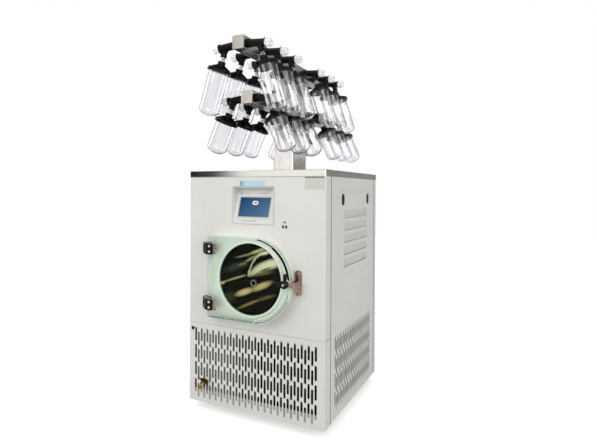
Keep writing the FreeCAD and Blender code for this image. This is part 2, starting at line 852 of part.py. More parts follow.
def make_hinge_pins():
    pins = []
    half = hinge_height / 2
    for z in hinge_levels():
        profile = [
            (0, -half - 1), (hinge_pin_radius, -half - 1), (hinge_pin_radius, half),
            (hinge_pin_radius + 2.2, half), (hinge_pin_radius + 2.2, half + 2.5), (0, half + 3.2),
        ]
        pin = revolve(profile)
        pin.translate(Vector(hinge_x, hinge_y, z))
        pins.append(pin)
    return Part.makeCompound(pins)


def make_hinge_leaves():
    """Two leaves: a knuckle on the pin, a web round the door's edge and a plate screwed to its face."""
    leaves = []
    knuckle_half = hinge_height / 4
    half = hinge_height / 2 - 2.0
    edge = -door_left
    for z in hinge_levels():
        low = Vector(hinge_x, hinge_y, z - knuckle_half)
        high = Vector(hinge_x, hinge_y, z + knuckle_half)
        knuckle = rod(low, high, hinge_knuckle_radius)
        bridge = box(hinge_x, edge - 4.0, hinge_y - 6, hinge_y + 6, z - knuckle_half, z + knuckle_half)
        web = box(edge - 7.0, edge - 0.2, door_front - hinge_leaf, door_back - 1.0, z - half, z + half)
        plate = rounded_box_front(
            edge - 7.0, edge + hinge_leaf_reach, door_front - hinge_leaf, door_front - 0.1, z - half, z + half, 3.0)
        pieces = [knuckle, bridge, web, plate.cut(door_clearance())]
        for point in hinge_bolts():
            if abs(point.z - z) < half:
                head = point + Vector(0, door_front - hinge_leaf - 3.0, 0)
                pieces.append(rod(head, point + Vector(0, door_front - 2, 0), 5.0))
                end = point + Vector(0, door_front + hinge_bolt_length, 0)
                pieces.append(rod(head, end, hinge_bolt_radius))
        beyond = Vector(0, 0, 1)
        bore = rod(low - beyond, high + beyond, hinge_pin_radius + running_clearance)
        leaves.append(fuse(pieces).cut(bore))
    return Part.makeCompound(leaves)


def door_clearance():
    return box(-door_left, 0, door_front, door_back, chamber_z - 300, chamber_z + 300)


# ------------------------------------------------------------------ latch
def make_latch_lever():
    """Turning lever: domed hub, tapering arm to the left, spindle through the door, tongue upwards."""
    face = door_front - fit_clearance
    tongue_back = face
    tongue_front = tongue_back - tongue_thickness
    r = latch_hub_radius
    hub = revolve([
        (0, 0), (r - 3, 0), (r - 3, tongue_thickness), (r, tongue_thickness + 2),
        (r, 15), (r - 5, 20), (0, 22),
    ])
    hub = placed(hub, along(Vector(latch_x, face, chamber_z), Vector(0, -1, 0)))
    spindle = rod(
        Vector(latch_x, face, chamber_z), Vector(latch_x, door_back - 0.4, chamber_z), latch_spindle_radius)
    root = lever_section(latch_x - 4.0, 10.0, face - 19.0, face - 7.0)
    tip = lever_section(latch_x - latch_reach, 4.5, face - 17.0, face - 10.5)
    arm = Part.makeLoft([root, tip], True, True)
    tongue = rounded_box_front(
        latch_x - tongue_width / 2, latch_x + tongue_width / 2, tongue_front, tongue_back,
        chamber_z - 4, chamber_z + tongue_length, 3.0)
    return fuse([hub, spindle, arm, tongue])


def lever_section(x, half_height, y0, y1):
    corners = [(y0, -half_height), (y1, -half_height), (y1, half_height), (y0, half_height)]
    points = [Vector(x, y, chamber_z + up) for y, up in corners]
    radius = min(half_height, (y1 - y0) / 2) * 0.6
    return rounded_wire(points, [radius] * 4)


def make_latch_keeper():
    """Screwed plate with a hook that takes the lever's tongue from above."""
    left = door_right + keeper_gap
    right = left + keeper_width
    reach = keeper_height / 2
    plate = rounded_box_front(
        left, right, front - keeper_plate, front, chamber_z - reach, chamber_z + reach, keeper_width * 0.45)
    tongue_back = door_front - fit_clearance
    tongue_front = tongue_back - tongue_thickness
    back_face = tongue_back + 0.6
    lip_face = tongue_front - 0.6
    wall = latch_x + tongue_length + 3.0
    half = 11.0
    low = chamber_z - half
    high = chamber_z + half
    block = box(left + 1, right - 1, back_face, front - keeper_plate + 1, low, high)
    lip = box(left + 1, right - 1, lip_face - 6.0, lip_face, low, high)
    side = box(wall, right - 1, lip_face - 6.0, back_face, low, high)
    tools = []
    for up in (-reach + 13.0, reach - 13.0):
        head = Vector((left + right) / 2, front - keeper_plate - 1, chamber_z + up)
        tools.append(rod(head, head + Vector(0, 5, 0), 5.2))
    return fuse([plate, block, lip, side]).cut(Part.makeCompound(tools))


# ------------------------------------------------------------------ manifold
def make_manifold_post():
    """Box-section riser on a welded foot, closed by a lid that carries the upper bar."""
    x = post_width / 2
    y = post_depth / 2
    foot = rounded_box(-x - 12, x + 12, -y - 12, y + 12, worktop_top, worktop_top + post_foot, 4.0)
    outer = rounded_box(-x, x, -y, y, worktop_top, post_top, 5.0)
    inner = rounded_box(
        -x + bar_wall, x - bar_wall, -y + bar_wall, y - bar_wall,
        worktop_top + post_foot, post_top - bar_wall, 2.0)
    size = bar_size / 2
    window = box(-size, size, -y - 20, y + 20, lower_z - size, lower_z + size)
    foot_top = Vector(0, 0, worktop_top + post_foot + 1)
    duct = rod(Vector(0, 0, worktop_top - 1), foot_top, duct_radius + fit_clearance)
    top = rod(Vector(0, 0, post_top - 2 * bar_wall), Vector(0, 0, post_top + 1), 20.0)
    return fuse([foot, outer]).cut(Part.makeCompound([inner, window, duct, top]))


def port_places(tier):
    """Every port of a bar: side, index from the front, and the point on the bar's face."""
    offset, level, _, _ = TIERS[tier]
    places = []
    for side_name, side in SIDES.items():
        steps = list(range(-ports_per_arm, 0)) + list(range(1, ports_per_arm + 1))
        for index, step in enumerate(steps, 1):
            point = Vector(side * bar_size / 2, offset + step * port_pitch, level)
            places.append((side_name, side, index, point))
    return places


def port_direction(side):
    droop = math.radians(port_droop)
    return Vector(side * math.cos(droop), 0, -math.sin(droop))


def make_manifold_bars():
    """Two square tubes with closed ends; each port is a nipple let into the tube's side."""
    bars = []
    size = bar_size / 2
    for tier, (offset, level, _, _) in TIERS.items():
        outer = square_bar(size, offset, level, bar_half, 4.0)
        inner = square_bar(size - bar_wall, offset, level, bar_half - bar_wall, 1.5)
        solids = [outer]
        bores = [inner]
        for _, side, _, point in port_places(tier):
            way = port_direction(side)
            solids.append(rod(point - way * bar_wall / 2, point + way * nipple_length, nipple_radius))
            nipple_end = point + way * (nipple_length + 1)
            bores.append(rod(point - way * 2 * bar_wall, nipple_end, nipple_radius - nipple_wall))
        if tier == "upper":
            bores.append(rod(Vector(0, 0, level - size - 1), Vector(0, 0, level), 20.0))
        else:
            bores.append(rod(Vector(0, 0, level - size - 1), Vector(0, 0, level + size + 1), 20.0))
        bars.append(fuse(solids).cut(Part.makeCompound(bores)))
    return Part.makeCompound(bars)


def square_bar(size, offset, level, reach, radius):
    """Square bar along Y with rounded long edges."""
    corners = [(-size, -size), (size, -size), (size, size), (-size, size)]
    points = [Vector(x, offset - reach, level + z) for x, z in corners]
    return prism(points, [radius] * 4, Vector(0, 2 * reach, 0))


def leg_start(tier, side):
    """Where a valve's leg leaves its barrel, and the leg's direction, for a port at the origin."""
    _, _, splay, _ = TIERS[tier]
    angle = math.radians(splay)
    return port_direction(side) * leg_position, Vector(side * math.sin(angle), 0, -math.cos(angle))


def make_valve_body(tier, side):
    """Rubber quick-seal valve for a port at the origin: barrel, flared rim, ribbed leg and saddle."""
    way = port_direction(side)
    start, down = leg_start(tier, side)
    zero = Vector(0, 0, 0)
    barrel = rod(way * 2.0, way * barrel_length, barrel_radius)
    root = rod(way * 2.0, way * 10.0, barrel_radius + 2.0)
    rim = placed(revolve([
        (0, 0), (barrel_radius, 0), (barrel_rim_radius, barrel_rim), (barrel_rim_radius, barrel_rim + 2),
        (0, barrel_rim + 2),
    ]), along(way * (barrel_length - barrel_rim - 2), way))
    leg = rod(start, start + down * leg_length, leg_radius)
    rings = [
        rod(start + down * (leg_length - drop - 4.0), start + down * (leg_length - drop), leg_radius + 2.0)
        for drop in (0.0, 8.0)
    ]
    saddle = placed(revolve([
        (0, barrel_radius - 6), (barrel_radius - 1, barrel_radius - 6), (leg_radius, barrel_radius + 8),
        (0, barrel_radius + 8),
    ]), along(start, down))
    body = fuse([barrel, root, rim, leg, saddle] + rings)
    bores = [
        rod(zero, way * (nipple_length + 0.5), nipple_radius + running_clearance),
        rod(way * (barrel_length - knob_stem - 0.5), way * (barrel_length + 1), knob_stem_radius),
        rod(
            start + down * (leg_length - adapter_insert), start + down * (leg_length + 1),
            adapter_radius + running_clearance,
        ),
    ]
    return body.cut(Part.makeCompound(bores))


def make_valve_knob(side):
    """Translucent knob for a port at the origin: fluted grip with a pointer, on a round stem."""
    way = port_direction(side)
    place = along(way * (barrel_length + 0.4), way)
    head = revolve([
        (0, 0), (knob_radius - 3, 0), (knob_radius, 3), (knob_radius, knob_length - 6),
        (knob_radius - 4, knob_length), (0, knob_length),
    ])
    flutes = []
    for step in range(8):
        angle = math.radians(45.0 * step + 22.5)
        centre = Vector(math.cos(angle), math.sin(angle), 0) * (knob_radius + 4.0)
        flutes.append(Part.makeCylinder(6.5, knob_length - 8, centre + Vector(0, 0, 4), Vector(0, 0, 1)))
    pointer = box(0, knob_radius - 5, -2, 2, knob_length - 1, knob_length + 3)
    stem = rod(Vector(0, 0, 1), Vector(0, 0, -knob_stem), knob_stem_radius - running_clearance)
    knob = fuse([head.cut(Part.makeCompound(flutes)), pointer, stem])
    return placed(knob, place)


def flask_axis(tier, side, distance):
    """Point at a distance down the leg's axis from the barrel, for a port at the origin."""
    start, down = leg_start(tier, side)
    return start + down * distance


def make_adapter(tier, side):
    """Short clear tube between valve and lid, with two locating beads."""
    _, down = leg_start(tier, side)
    length = adapter_visible + 2 * adapter_insert
    profile = [
        (adapter_radius - 2.5, 0), (adapter_radius, 0), (adapter_radius, adapter_insert + 5),
        (adapter_radius + 1.2, adapter_insert + 6), (adapter_radius, adapter_insert + 7),
        (adapter_radius, adapter_insert + 11), (adapter_radius + 1.2, adapter_insert + 12),
        (adapter_radius, adapter_insert + 13), (adapter_radius, length), (adapter_radius - 2.5, length),
    ]
    return placed(revolve(profile), along(flask_axis(tier, side, leg_length - adapter_insert), down))


def lid_top():
    return leg_length + adapter_visible


def flask_top():
    return lid_top() + lid_neck + lid_dome


def make_lid(tier, side):
    """Moulded rubber lid: neck, ribbed dome and a skirt over the flask's rim."""
    _, down = leg_start(tier, side)
    dome_start = lid_neck
    seat = lid_neck + lid_dome
    bore = adapter_radius + running_clearance
    profile = [
        (bore, 0), (lid_neck_radius - 1, 0), (lid_neck_radius, 1), (lid_neck_radius, dome_start - 3),
        (lid_neck_radius + 5, dome_start + 3), (lid_radius - 9, seat - 8), (lid_radius, seat - 5),
        (lid_radius, seat + lid_skirt), (flask_rim_radius + 0.3, seat + lid_skirt),
        (flask_rim_radius + 0.3, seat), (bore + 8, seat), (bore, seat - 5),
    ]
    ribs = []
    for step in range(8):
        rib = Part.makePolygon([
            Vector(lid_neck_radius - 2, 0, dome_start - 9), Vector(lid_radius - 3, 0, seat - 8.5),
            Vector(lid_radius - 3, 0, seat - 3), Vector(lid_neck_radius - 2, 0, seat - 3),
            Vector(lid_neck_radius - 2, 0, dome_start - 9),
        ])
        solid = Part.Face(rib).extrude(Vector(0, 3.0, 0))
        solid.translate(Vector(0, -1.5, 0))
        solid.rotate(Vector(0, 0, 0), Vector(0, 0, 1), 45.0 * step)
        ribs.append(solid)
    return placed(fuse([revolve(profile)] + ribs), along(flask_axis(tier, side, lid_top()), down))


def flask_profile(radius, length, knuckle, crown):
    """Half outline of a round-ended vessel: side, knuckle arc and crown arc, tangent to each other."""
    rise = math.sqrt((crown - knuckle) ** 2 - (radius - knuckle) ** 2)
    knuckle_level = length - (crown - rise)
    crown_centre = Vector(0, 0, length - crown)
    knuckle_centre = Vector(radius - knuckle, 0, knuckle_level)
    outward = (knuckle_centre - crown_centre).normalize()
    joint = knuckle_centre + outward * knuckle
    bisector = (outward + Vector(1, 0, 0)).normalize()
    lower = (outward + Vector(0, 0, 1)).normalize()
    side_end = Vector(radius, 0, knuckle_level)
    return [
        Part.makeLine(Vector(radius, 0, 0), side_end),
        Part.Arc(side_end, knuckle_centre + bisector * knuckle, joint).toShape(),
        Part.Arc(joint, crown_centre + lower * crown, Vector(0, 0, length)).toShape(),
    ]


def vessel(radius, length, knuckle, crown):
    edges = flask_profile(radius, length, knuckle, crown)
    edges.append(Part.makeLine(Vector(0, 0, length), Vector(0, 0, 0)))
    edges.append(Part.makeLine(Vector(0, 0, 0), Vector(radius, 0, 0)))
    return Part.Face(Part.Wire(edges)).revolve(Vector(0, 0, 0), Vector(0, 0, 1), 360)


def make_flask(tier, side):
    """Blown glass flask with a thickened rim, hanging from its lid."""
    _, _, _, length = TIERS[tier]
    _, down = leg_start(tier, side)
    outer = vessel(flask_radius, length, flask_knuckle, flask_crown)
    rim = rod(Vector(0, 0, 0), Vector(0, 0, lid_skirt + 2), flask_rim_radius)
    inner = vessel(
        flask_radius - flask_wall, length - flask_wall,
        flask_knuckle - flask_wall, flask_crown - flask_wall)
    shell = outer.fuse(rim).cut(inner)
    return placed(shell, along(flask_axis(tier, side, flask_top()), down))


def at_every_port(make):
    """One copy of a part at each port, as a group of separate solids."""
    copies = []
    for tier in TIERS:
        models = {side: make(tier, side) for side in SIDES.values()}
        for _, side, _, point in port_places(tier):
            copy = models[side].copy()
            copy.translate(point)
            copies.append(copy)
    return Part.makeCompound(copies)


# ------------------------------------------------------------------ drain valve
def make_drain_valve_body():
    """Brass ball valve: pipe through the grille, nut, ball housing, bonnet and a spout bent down."""
    centre = drain_centre()
    ahead = Vector(0, -1, 0)
    pivot = centre + ahead * drain_stem_reach
    inlet = rod(centre - ahead * 26, pivot, drain_pipe_radius)
    nut = placed(hexagon(11.5, 8.0), along(centre, ahead))
    housing = placed(revolve([
        (0, 0), (8, 0), (10.5, 3), (10.5, 17), (8, 20), (0, 20),
    ]), along(pivot - ahead * 10.0, ahead))
    bonnet = rod(pivot, pivot + Vector(0, 0, drain_bonnet_height), 6.0)
    down = Vector(0, -0.5, -0.866)
    spout_start = pivot + ahead * 6
    spout_end = spout_start + down * drain_spout_length
    spout = rod(spout_start, spout_end, 6.5)
    collar = placed(hexagon(8.5, 5.0), along(spout_start + down * 11, down))
    body = fuse([inlet, nut, housing, bonnet, spout, collar])
    stem_top = pivot + Vector(0, 0, drain_bonnet_height + 1)
    stem_hole = rod(pivot + Vector(0, 0, 8), stem_top, drain_stem_radius + running_clearance)
    bores = [
        rod(spout_start, spout_end + down, drain_bore),
        rod(centre - ahead * 27, spout_start, drain_bore),
        stem_hole,
    ]
    return body.cut(Part.makeCompound(bores))


def hexagon(across, height):
    points = []
    for step in range(6):
        angle = math.radians(60 * step)
        points.append(Vector(across * math.cos(angle), across * math.sin(angle), 0))
    return prism(points, [0] * 6, Vector(0, 0, height))


def make_drain_valve_lever():
    """Black butterfly handle on the valve's stem."""
    pivot = drain_centre() + Vector(0, -drain_stem_reach, drain_bonnet_height + 0.5)
    reach = drain_handle_length / 2
    hub = rod(pivot, pivot + Vector(0, 0, 7), 6.5)
    stem = rod(pivot + Vector(0, 0, -6), pivot, drain_stem_radius)
    wings = rounded_box(-reach, reach, -4, 4, 1.5, 6, 3.6)
    wings.translate(pivot)
    return fuse([hub, stem, wings])


# ------------------------------------------------------------------ refrigeration and services
def compressor_centre():
    return Vector(-150.0, 110.0, base + sheet)


def make_compressor():
    """Hermetic compressor: welded pot with a domed top, terminal box, stubs and mounting feet."""
    r = compressor_radius
    h = compressor_height
    seam_level = h * 0.45
    pot = revolve([
        (0, 14), (r - 14, 14), (r, 28), (r, seam_level), (r + 4, seam_level), (r + 4, seam_level + 8),
        (r, seam_level + 8), (r, h - 60), (r - 10, h - 28), (r - 34, h - 8), (0, h),
    ])
    pieces = [pot, box(-r - 16, r + 16, -18, 18, 8, 16), box(-18, 18, -r - 16, r + 16, 8, 16)]
    for x, y in ((-1, 0), (1, 0), (0, -1), (0, 1)):
        foot = Vector(x * (r + 4), y * (r + 4), 0)
        pieces.append(rod(foot, foot + Vector(0, 0, 9), 9.0))
    pieces.append(box(r - 8, r + 26, -26, 26, h * 0.5, h * 0.5 + 56))
    pieces.append(rod(Vector(-r + 6, 20, h * 0.6), Vector(-r - 30, 20, h * 0.6), 8.0))
    pieces.append(rod(Vector(-20, 0, h - 20), Vector(-20, 0, h + 30), 6.0))
    body = fuse(pieces)
    body.translate(compressor_centre())
    return body


def condenser_box():
    """Left, right, front, rear, bottom and top of the finned condenser."""
    left = -40.0
    y0 = front + 18.0
    low = base + sheet
    return left, left + condenser_width, y0, y0 + condenser_depth, low, low + condenser_height


def fan_centre():
    x0, x1, _, y1, z0, z1 = condenser_box()
    return Vector((x0 + x1) / 2, y1 + 12.0, (z0 + z1) / 2)


def make_condenser():
    """Finned coil in a sheet frame, with return bends at both ends and a shroud round the fan."""
    x0, x1, y0, y1, z0, z1 = condenser_box()
    end = 3.0
    pieces = [box(x0, x0 + end, y0, y1, z0, z1), box(x1 - end, x1, y0, y1, z0, z1)]
    pieces.append(box(x0, x1, y0, y1, z1 - end, z1))
    pieces.append(box(x0, x1, y0, y1, z0, z0 + end))
    rows = 8
    for row in range(rows):
        start = Vector(x0 - 8, y0 + condenser_depth / 2, z0 + (row + 0.5) * condenser_height / rows)
        pieces.append(rod(start, start + Vector(condenser_width + 16, 0, 0), coil_tube_radius))
    fins = 28
    pitch = (condenser_width - 2 * end) / (fins + 1)
    for fin in range(1, fins + 1):
        x = x0 + end + fin * pitch
        pieces.append(box(x - 0.5, x + 0.5, y0 + 3, y1 - 3, z0, z1))
    middle = fan_centre()
    shroud = box(x0, x1, y1 - 2, y1, z0, z1)
    face = Vector(middle.x, y1, middle.z)
    mouth = fan_radius + 6
    shroud = shroud.cut(rod(face - Vector(0, 5, 0), face + Vector(0, 5, 0), mouth))
    collar = tube(face - Vector(0, 2, 0), face + Vector(0, 24, 0), mouth + 2, mouth)
    pieces += [shroud, collar]
    return fuse(pieces)


def make_condenser_fan():
    """Axial fan: a cup hub with pitched blades, running on the motor's shaft."""
    inner = fan_hub_radius - 3
    hub = revolve([(0, 0), (fan_hub_radius, 0), (fan_hub_radius, 22), (inner, 22), (inner, 3), (0, 3)])
    boss = rod(Vector(0, 0, 1), Vector(0, 0, 16), 9.0)
    blades = []
    for index in range(fan_blades):
        blade = fan_blade()
        blade.rotate(Vector(0, 0, 0), Vector(0, 0, 1), index * 360.0 / fan_blades)
        blades.append(blade)
    fan = fuse([hub, boss] + blades)
    fan = fan.cut(rod(Vector(0, 0, 4), Vector(0, 0, 17), 4.0 + running_clearance))
    return placed(fan, along(fan_centre() - Vector(0, 10, 0), Vector(0, 1, 0)))


def fan_blade():
    """One blade, lofted from a steep root to a flatter tip."""
    sections = []
    stations = ((fan_hub_radius - 2, 34.0, 42.0), (fan_radius * 0.62, 58.0, 30.0), (fan_radius, 74.0, 20.0))
    for radius, chord, pitch in stations:
        angle = math.radians(pitch)
        across = Vector(0, math.cos(angle), math.sin(angle))
        thick = Vector(0, -math.sin(angle), math.cos(angle))
        middle = Vector(radius, 0, 11)
        corners = [
            middle - across * chord / 2 - thick * 0.8, middle + across * chord / 2 - thick * 0.8,
            middle + across * chord / 2 + thick * 0.8, middle - across * chord / 2 + thick * 0.8,
        ]
        sections.append(Part.makePolygon(corners + corners[:1]))
    return Part.makeLoft(sections, True, False)


def make_fan_motor():
    """Motor behind the fan, held by three bent strips that stand on the shroud."""
    centre = fan_centre()
    start = centre + Vector(0, 22, 0)
    body = placed(revolve([
        (0, 0), (motor_radius - 6, 0), (motor_radius, 6), (motor_radius, motor_length - 6),
        (motor_radius - 6, motor_length), (0, motor_length),
    ]), along(start, Vector(0, 1, 0)))
    shaft = rod(centre - Vector(0, 5, 0), start + Vector(0, 2, 0), 4.0)
    shroud_back = condenser_box()[3]
    arm_y = start.y + 10.0
    foot = fan_radius + 11.0
    pieces = [body, shaft]
    for index in range(3):
        strip = fuse([
            box(-6, 6, arm_y, arm_y + 3, motor_radius - 4, foot + 3),
            box(-6, 6, shroud_back, arm_y + 3, foot, foot + 3),
        ])
        strip.rotate(Vector(0, 0, 0), Vector(0, 1, 0), 120 * index)
        strip.translate(Vector(centre.x, 0, centre.z))
        pieces.append(strip)
    return fuse(pieces)


def make_mains_inlet():
    """Recessed three-pin appliance inlet with its fixing flange."""
    centre = inlet_centre()
    half = inlet_width / 2
    reach = inlet_height / 2
    flange = rounded_box_front(-half - 11, half + 11, 0, 3, -reach - 2, reach + 2, 5.0)
    body = box(-half, half, -inlet_depth, 1, -reach, reach)
    floor = -inlet_depth + 7.0
    cavity = box(-half + inlet_wall, half - inlet_wall, floor, 4, -reach + inlet_wall, reach - inlet_wall)
    pins = []
    for x, z in ((-7, 0), (0, 3.5), (7, 0)):
        pins.append(box(x - 1, x + 1, floor - 1, -2, z - 2, z + 2))
    inlet = fuse([fuse([flange, body]).cut(cavity)] + pins)
    inlet.translate(centre)
    return inlet


def make_pump_port():
    """Small-flange vacuum connection on the rear panel, with its backing collar."""
    centre = pump_port_centre()
    outer = pump_port_radius + pump_port_wall
    pipe_body = rod(Vector(0, 0, -60), Vector(0, 0, 34), outer)
    collar = rod(Vector(0, 0, 0), Vector(0, 0, 4), outer + 9)
    flange = revolve([
        (0, 28), (outer, 28), (pump_port_rim, 30.5), (pump_port_rim, 34), (0, 34),
    ])
    body = fuse([pipe_body, collar, flange]).cut(rod(Vector(0, 0, -61), Vector(0, 0, 35), pump_port_radius))
    return placed(body, along(centre, Vector(0, 1, 0)))


# ------------------------------------------------------------------ write every node
def main():
    save("frame", make_frame())
    save("worktop", make_worktop())
    save("front_panel", make_front_panel())
    save("grille_panel", make_grille_panel())
    side = make_right_side_panel()
    save("right_side_panel", side)
    save("left_side_panel", mirrored(side))
    save("rear_panel", make_rear_panel())
    save("levelling_feet", make_feet())

    save("display_housing", make_display_housing())
    save("touch_screen", make_touch_screen())
    save("power_button", make_power_button())
    save("panel_lock", make_panel_lock())

    save("chamber_flange", make_chamber_flange())
    save("condenser_chamber", make_condenser_chamber())
    save("evaporator_coil", make_evaporator_coil())
    save("door_seals", make_door_seals())
    save("chamber_door", make_chamber_door())
    save("hinge_brackets", make_hinge_brackets())
    save("hinge_pins", make_hinge_pins())
    save("hinge_leaves", make_hinge_leaves())
    save("latch_lever", make_latch_lever())
    save("latch_keeper", make_latch_keeper())

    save("drain_valve_body", make_drain_valve_body())
    save("drain_valve_lever", make_drain_valve_lever())

    save("manifold_post", make_manifold_post())
    save("manifold_bars", make_manifold_bars())
    save("valve_bodies", at_every_port(make_valve_body))
    save("flask_adapters", at_every_port(make_adapter))
    save("flask_lids", at_every_port(make_lid))
    save("flasks", at_every_port(make_flask))
    knobs = {side: make_valve_knob(side) for side in SIDES.values()}
    for tier in TIERS:
        for side_name, side, index, point in port_places(tier):
            knob = knobs[side].copy()
            knob.translate(point)
            save(f"knob_{tier}_{side_name}_{index}", knob)

    save("compressor", make_compressor())
    save("condenser", make_condenser())
    save("condenser_fan", make_condenser_fan())
    save("fan_motor", make_fan_motor())
    save("mains_inlet", make_mains_inlet())
    save("pump_port", make_pump_port())


main()
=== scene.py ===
import json
import math

import bmesh
import bpy
from mathutils import Matrix, Vector


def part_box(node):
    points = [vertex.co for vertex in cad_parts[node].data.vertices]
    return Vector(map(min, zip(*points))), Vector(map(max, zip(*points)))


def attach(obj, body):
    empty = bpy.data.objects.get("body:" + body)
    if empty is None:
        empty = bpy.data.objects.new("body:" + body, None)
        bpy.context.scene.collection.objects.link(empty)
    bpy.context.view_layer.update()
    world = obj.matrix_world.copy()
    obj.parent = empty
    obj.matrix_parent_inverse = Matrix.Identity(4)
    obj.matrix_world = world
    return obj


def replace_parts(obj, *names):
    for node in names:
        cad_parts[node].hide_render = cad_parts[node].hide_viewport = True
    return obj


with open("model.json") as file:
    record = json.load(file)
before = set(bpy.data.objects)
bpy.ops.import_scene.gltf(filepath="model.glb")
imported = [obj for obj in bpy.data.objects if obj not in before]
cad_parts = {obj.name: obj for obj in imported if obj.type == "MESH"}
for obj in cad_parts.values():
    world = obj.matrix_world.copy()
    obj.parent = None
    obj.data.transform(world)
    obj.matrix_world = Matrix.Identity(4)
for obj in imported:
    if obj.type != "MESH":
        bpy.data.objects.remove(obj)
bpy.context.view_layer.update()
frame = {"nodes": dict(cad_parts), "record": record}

# Finish of a floor-standing manifold freeze dryer. Metres, +Z up, the chamber door faces -Y.
MM = 0.001
RIGHT, FRONT = Vector((1, 0, 0)), Vector((0, -1, 0))
UP, DOWN = Vector((0, 0, 1)), Vector((0, 0, -1))


# ------------------------------------------------------------------ places taken from the frame
def low(node):
    return Vector(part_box(node)[0])


def high(node):
    return Vector(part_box(node)[1])


def middle(node):
    return (low(node) + high(node)) / 2


front_face = low("front_panel").y
side_face = high("right_side_panel").x
rear_face = high("rear_panel").y
chamber_level = middle("chamber_door").z
foot_level = low("grille_panel").z
crown_level = high("front_panel").z


# ------------------------------------------------------------------ colour and node helpers
def colour(code):
    """sRGB hex code as the linear RGBA that shaders take."""
    values = [int(code[i:i + 2], 16) / 255 for i in (1, 3, 5)]
    return (*(v / 12.92 if v <= 0.04045 else ((v + 0.055) / 1.055) ** 2.4 for v in values), 1.0)


def add(tree, kind, inputs=None, **settings):
    """Adds a shader node: settings are its properties, inputs its sockets' values or what feeds them."""
    node = tree.nodes.new("ShaderNode" + kind)
    for name, value in settings.items():
        setattr(node, name, value)
    for name, value in (inputs or {}).items():
        if isinstance(value, bpy.types.Node):
            value = value.outputs[0]
        if isinstance(value, bpy.types.NodeSocket):
            tree.links.new(value, node.inputs[name])
        else:
            node.inputs[name].default_value = value
    return node


# The range that most of a noise's values lie in.
NOISE = {"From Min": 0.3, "From Max": 0.7}
GRAIN_STRENGTH = 0.6


def finish(name, shade, light, patch_mm, grain_mm, roughness, relief_mm, drawn=(1, 1, 1), **surface):
    """Finish that drifts between two tones in patches of one size, under a finer grain.

    The grain sets where the surface is duller and stands relief_mm high; drawn is how far it is pulled
    out along each axis. Other surface values go straight to the shader's own sockets.
    """
    material = bpy.data.materials.new(name)
    material.use_nodes = True
    tree = material.node_tree
    shader = tree.nodes["Principled BSDF"]
    for key, value in surface.items():
        shader.inputs[key.replace("_", " ")].default_value = value
    place = add(tree, "TexCoord").outputs["Object"]
    along = add(tree, "Mapping", {"Vector": place, "Scale": tuple(1 / pull for pull in drawn)})
    patches = add(tree, "TexNoise", {"Vector": along, "Scale": 1 / (patch_mm * MM), "Detail": 3.0})
    grain = add(tree, "TexNoise", {"Vector": along, "Scale": 1 / (grain_mm * MM), "Detail": 2.0})
    tone = add(tree, "MapRange", {"Value": patches, **NOISE})
    mixed = add(tree, "Mix", {0: tone, 6: colour(shade), 7: colour(light)}, data_type="RGBA")
    dull = add(tree, "MapRange", {"Value": grain, **NOISE, "To Min": roughness[0], "To Max": roughness[1]})
    bump = add(tree, "Bump", {"Height": grain, "Distance": relief_mm * MM, "Strength": GRAIN_STRENGTH})
    tree.links.new(mixed.outputs[2], shader.inputs["Base Color"])
    tree.links.new(dull.outputs[0], shader.inputs["Roughness"])
    tree.links.new(bump.outputs[0], shader.inputs["Normal"])
    return material


# ------------------------------------------------------------------ finishes
# How far brushing pulls the grain out along each axis.
BRUSHED_X, BRUSHED_Y, BRUSHED_Z = (40, 1, 1), (1, 40, 1), (1, 1, 40)

# Polyester powder coat on steel sheet: satin, with a faint orange peel.
powder_coat = finish("powder_coat_off_white", "#E2E2DE", "#E8E8E4", 240, 2.4, (0.36, 0.5), 0.05)
# A lighter copy of the same coat: a painted highlight on the side panels' folded edges.
highlight_coat = finish("powder_coat_painted_highlight", "#F6F6F2", "#FBFBF8", 240, 2.4, (0.3, 0.4), 0.05)
# The same coat where the louvres' lips shade it.
shaded_coat = finish("shaded_powder_coat", "#D6D7D3", "#DCDDD9", 240, 2.4, (0.4, 0.55), 0.05)
# The same coat in a deeper grey on the welded frame: painted shade for the dim inside of the casing.
shaded_frame_coat = finish("powder_coat_frame_painted_shade", "#989993", "#A5A69F", 240, 2.4, (0.4, 0.55), 0.05)
# Cold-rolled stainless, brushed along the front edge: reflections stretch up and down.
brushed_sheet = finish(
    "brushed_stainless_sheet", "#C0BDB8", "#CCC9C4", 30, 0.8, (0.05, 0.13), 0.01, BRUSHED_X, Metallic=1.0)
# Drawn square tube, brushed along its length: duller than the sheet, with long soft reflections.
brushed_tube = finish(
    "brushed_stainless_tube", "#BFBBB4", "#CCC8C2", 30, 0.8, (0.16, 0.28), 0.01, BRUSHED_Y, Metallic=1.0)
# Folded box section, brushed upright: reflections spread sideways.
brushed_post = finish(
    "brushed_stainless_post", "#D2CFCA", "#DCD9D4", 30, 0.8, (0.18, 0.3), 0.01, BRUSHED_Z, Metallic=1.0)
# Polished stainless castings on the door: warm and bright, with slightly uneven faces.
bright_casting = finish(
    "polished_stainless_casting", "#8C7467", "#B89C8C", 9, 0.7, (0.16, 0.3), 0.02, Metallic=1.0)
# Zinc-plated screws and ground pins: bright and neutral.
plated_steel = finish("zinc_plated_steel", "#A8A9AB", "#CACBCC", 3, 0.4, (0.2, 0.34), 0.01, Metallic=1.0)
# Turned brass: a deep yellow, gone brown in patches.
turned_brass = finish("turned_brass", "#5A421F", "#8A6A38", 8, 0.5, (0.16, 0.3), 0.01, Metallic=1.0)
# Soft copper pipe: reddish and a little dulled by oxide.
copper_pipe = finish("soft_copper_pipe", "#9C5C3A", "#CB8559", 12, 0.8, (0.24, 0.42), 0.02, Metallic=1.0)
# Aluminium fin stock: dull grey, painted dark for the shade between the fins and inside the casing.
fin_stock = finish("aluminium_fin_stock", "#4C4E50", "#6A6C6F", 20, 0.8, (0.3, 0.45), 0.02, Metallic=1.0)
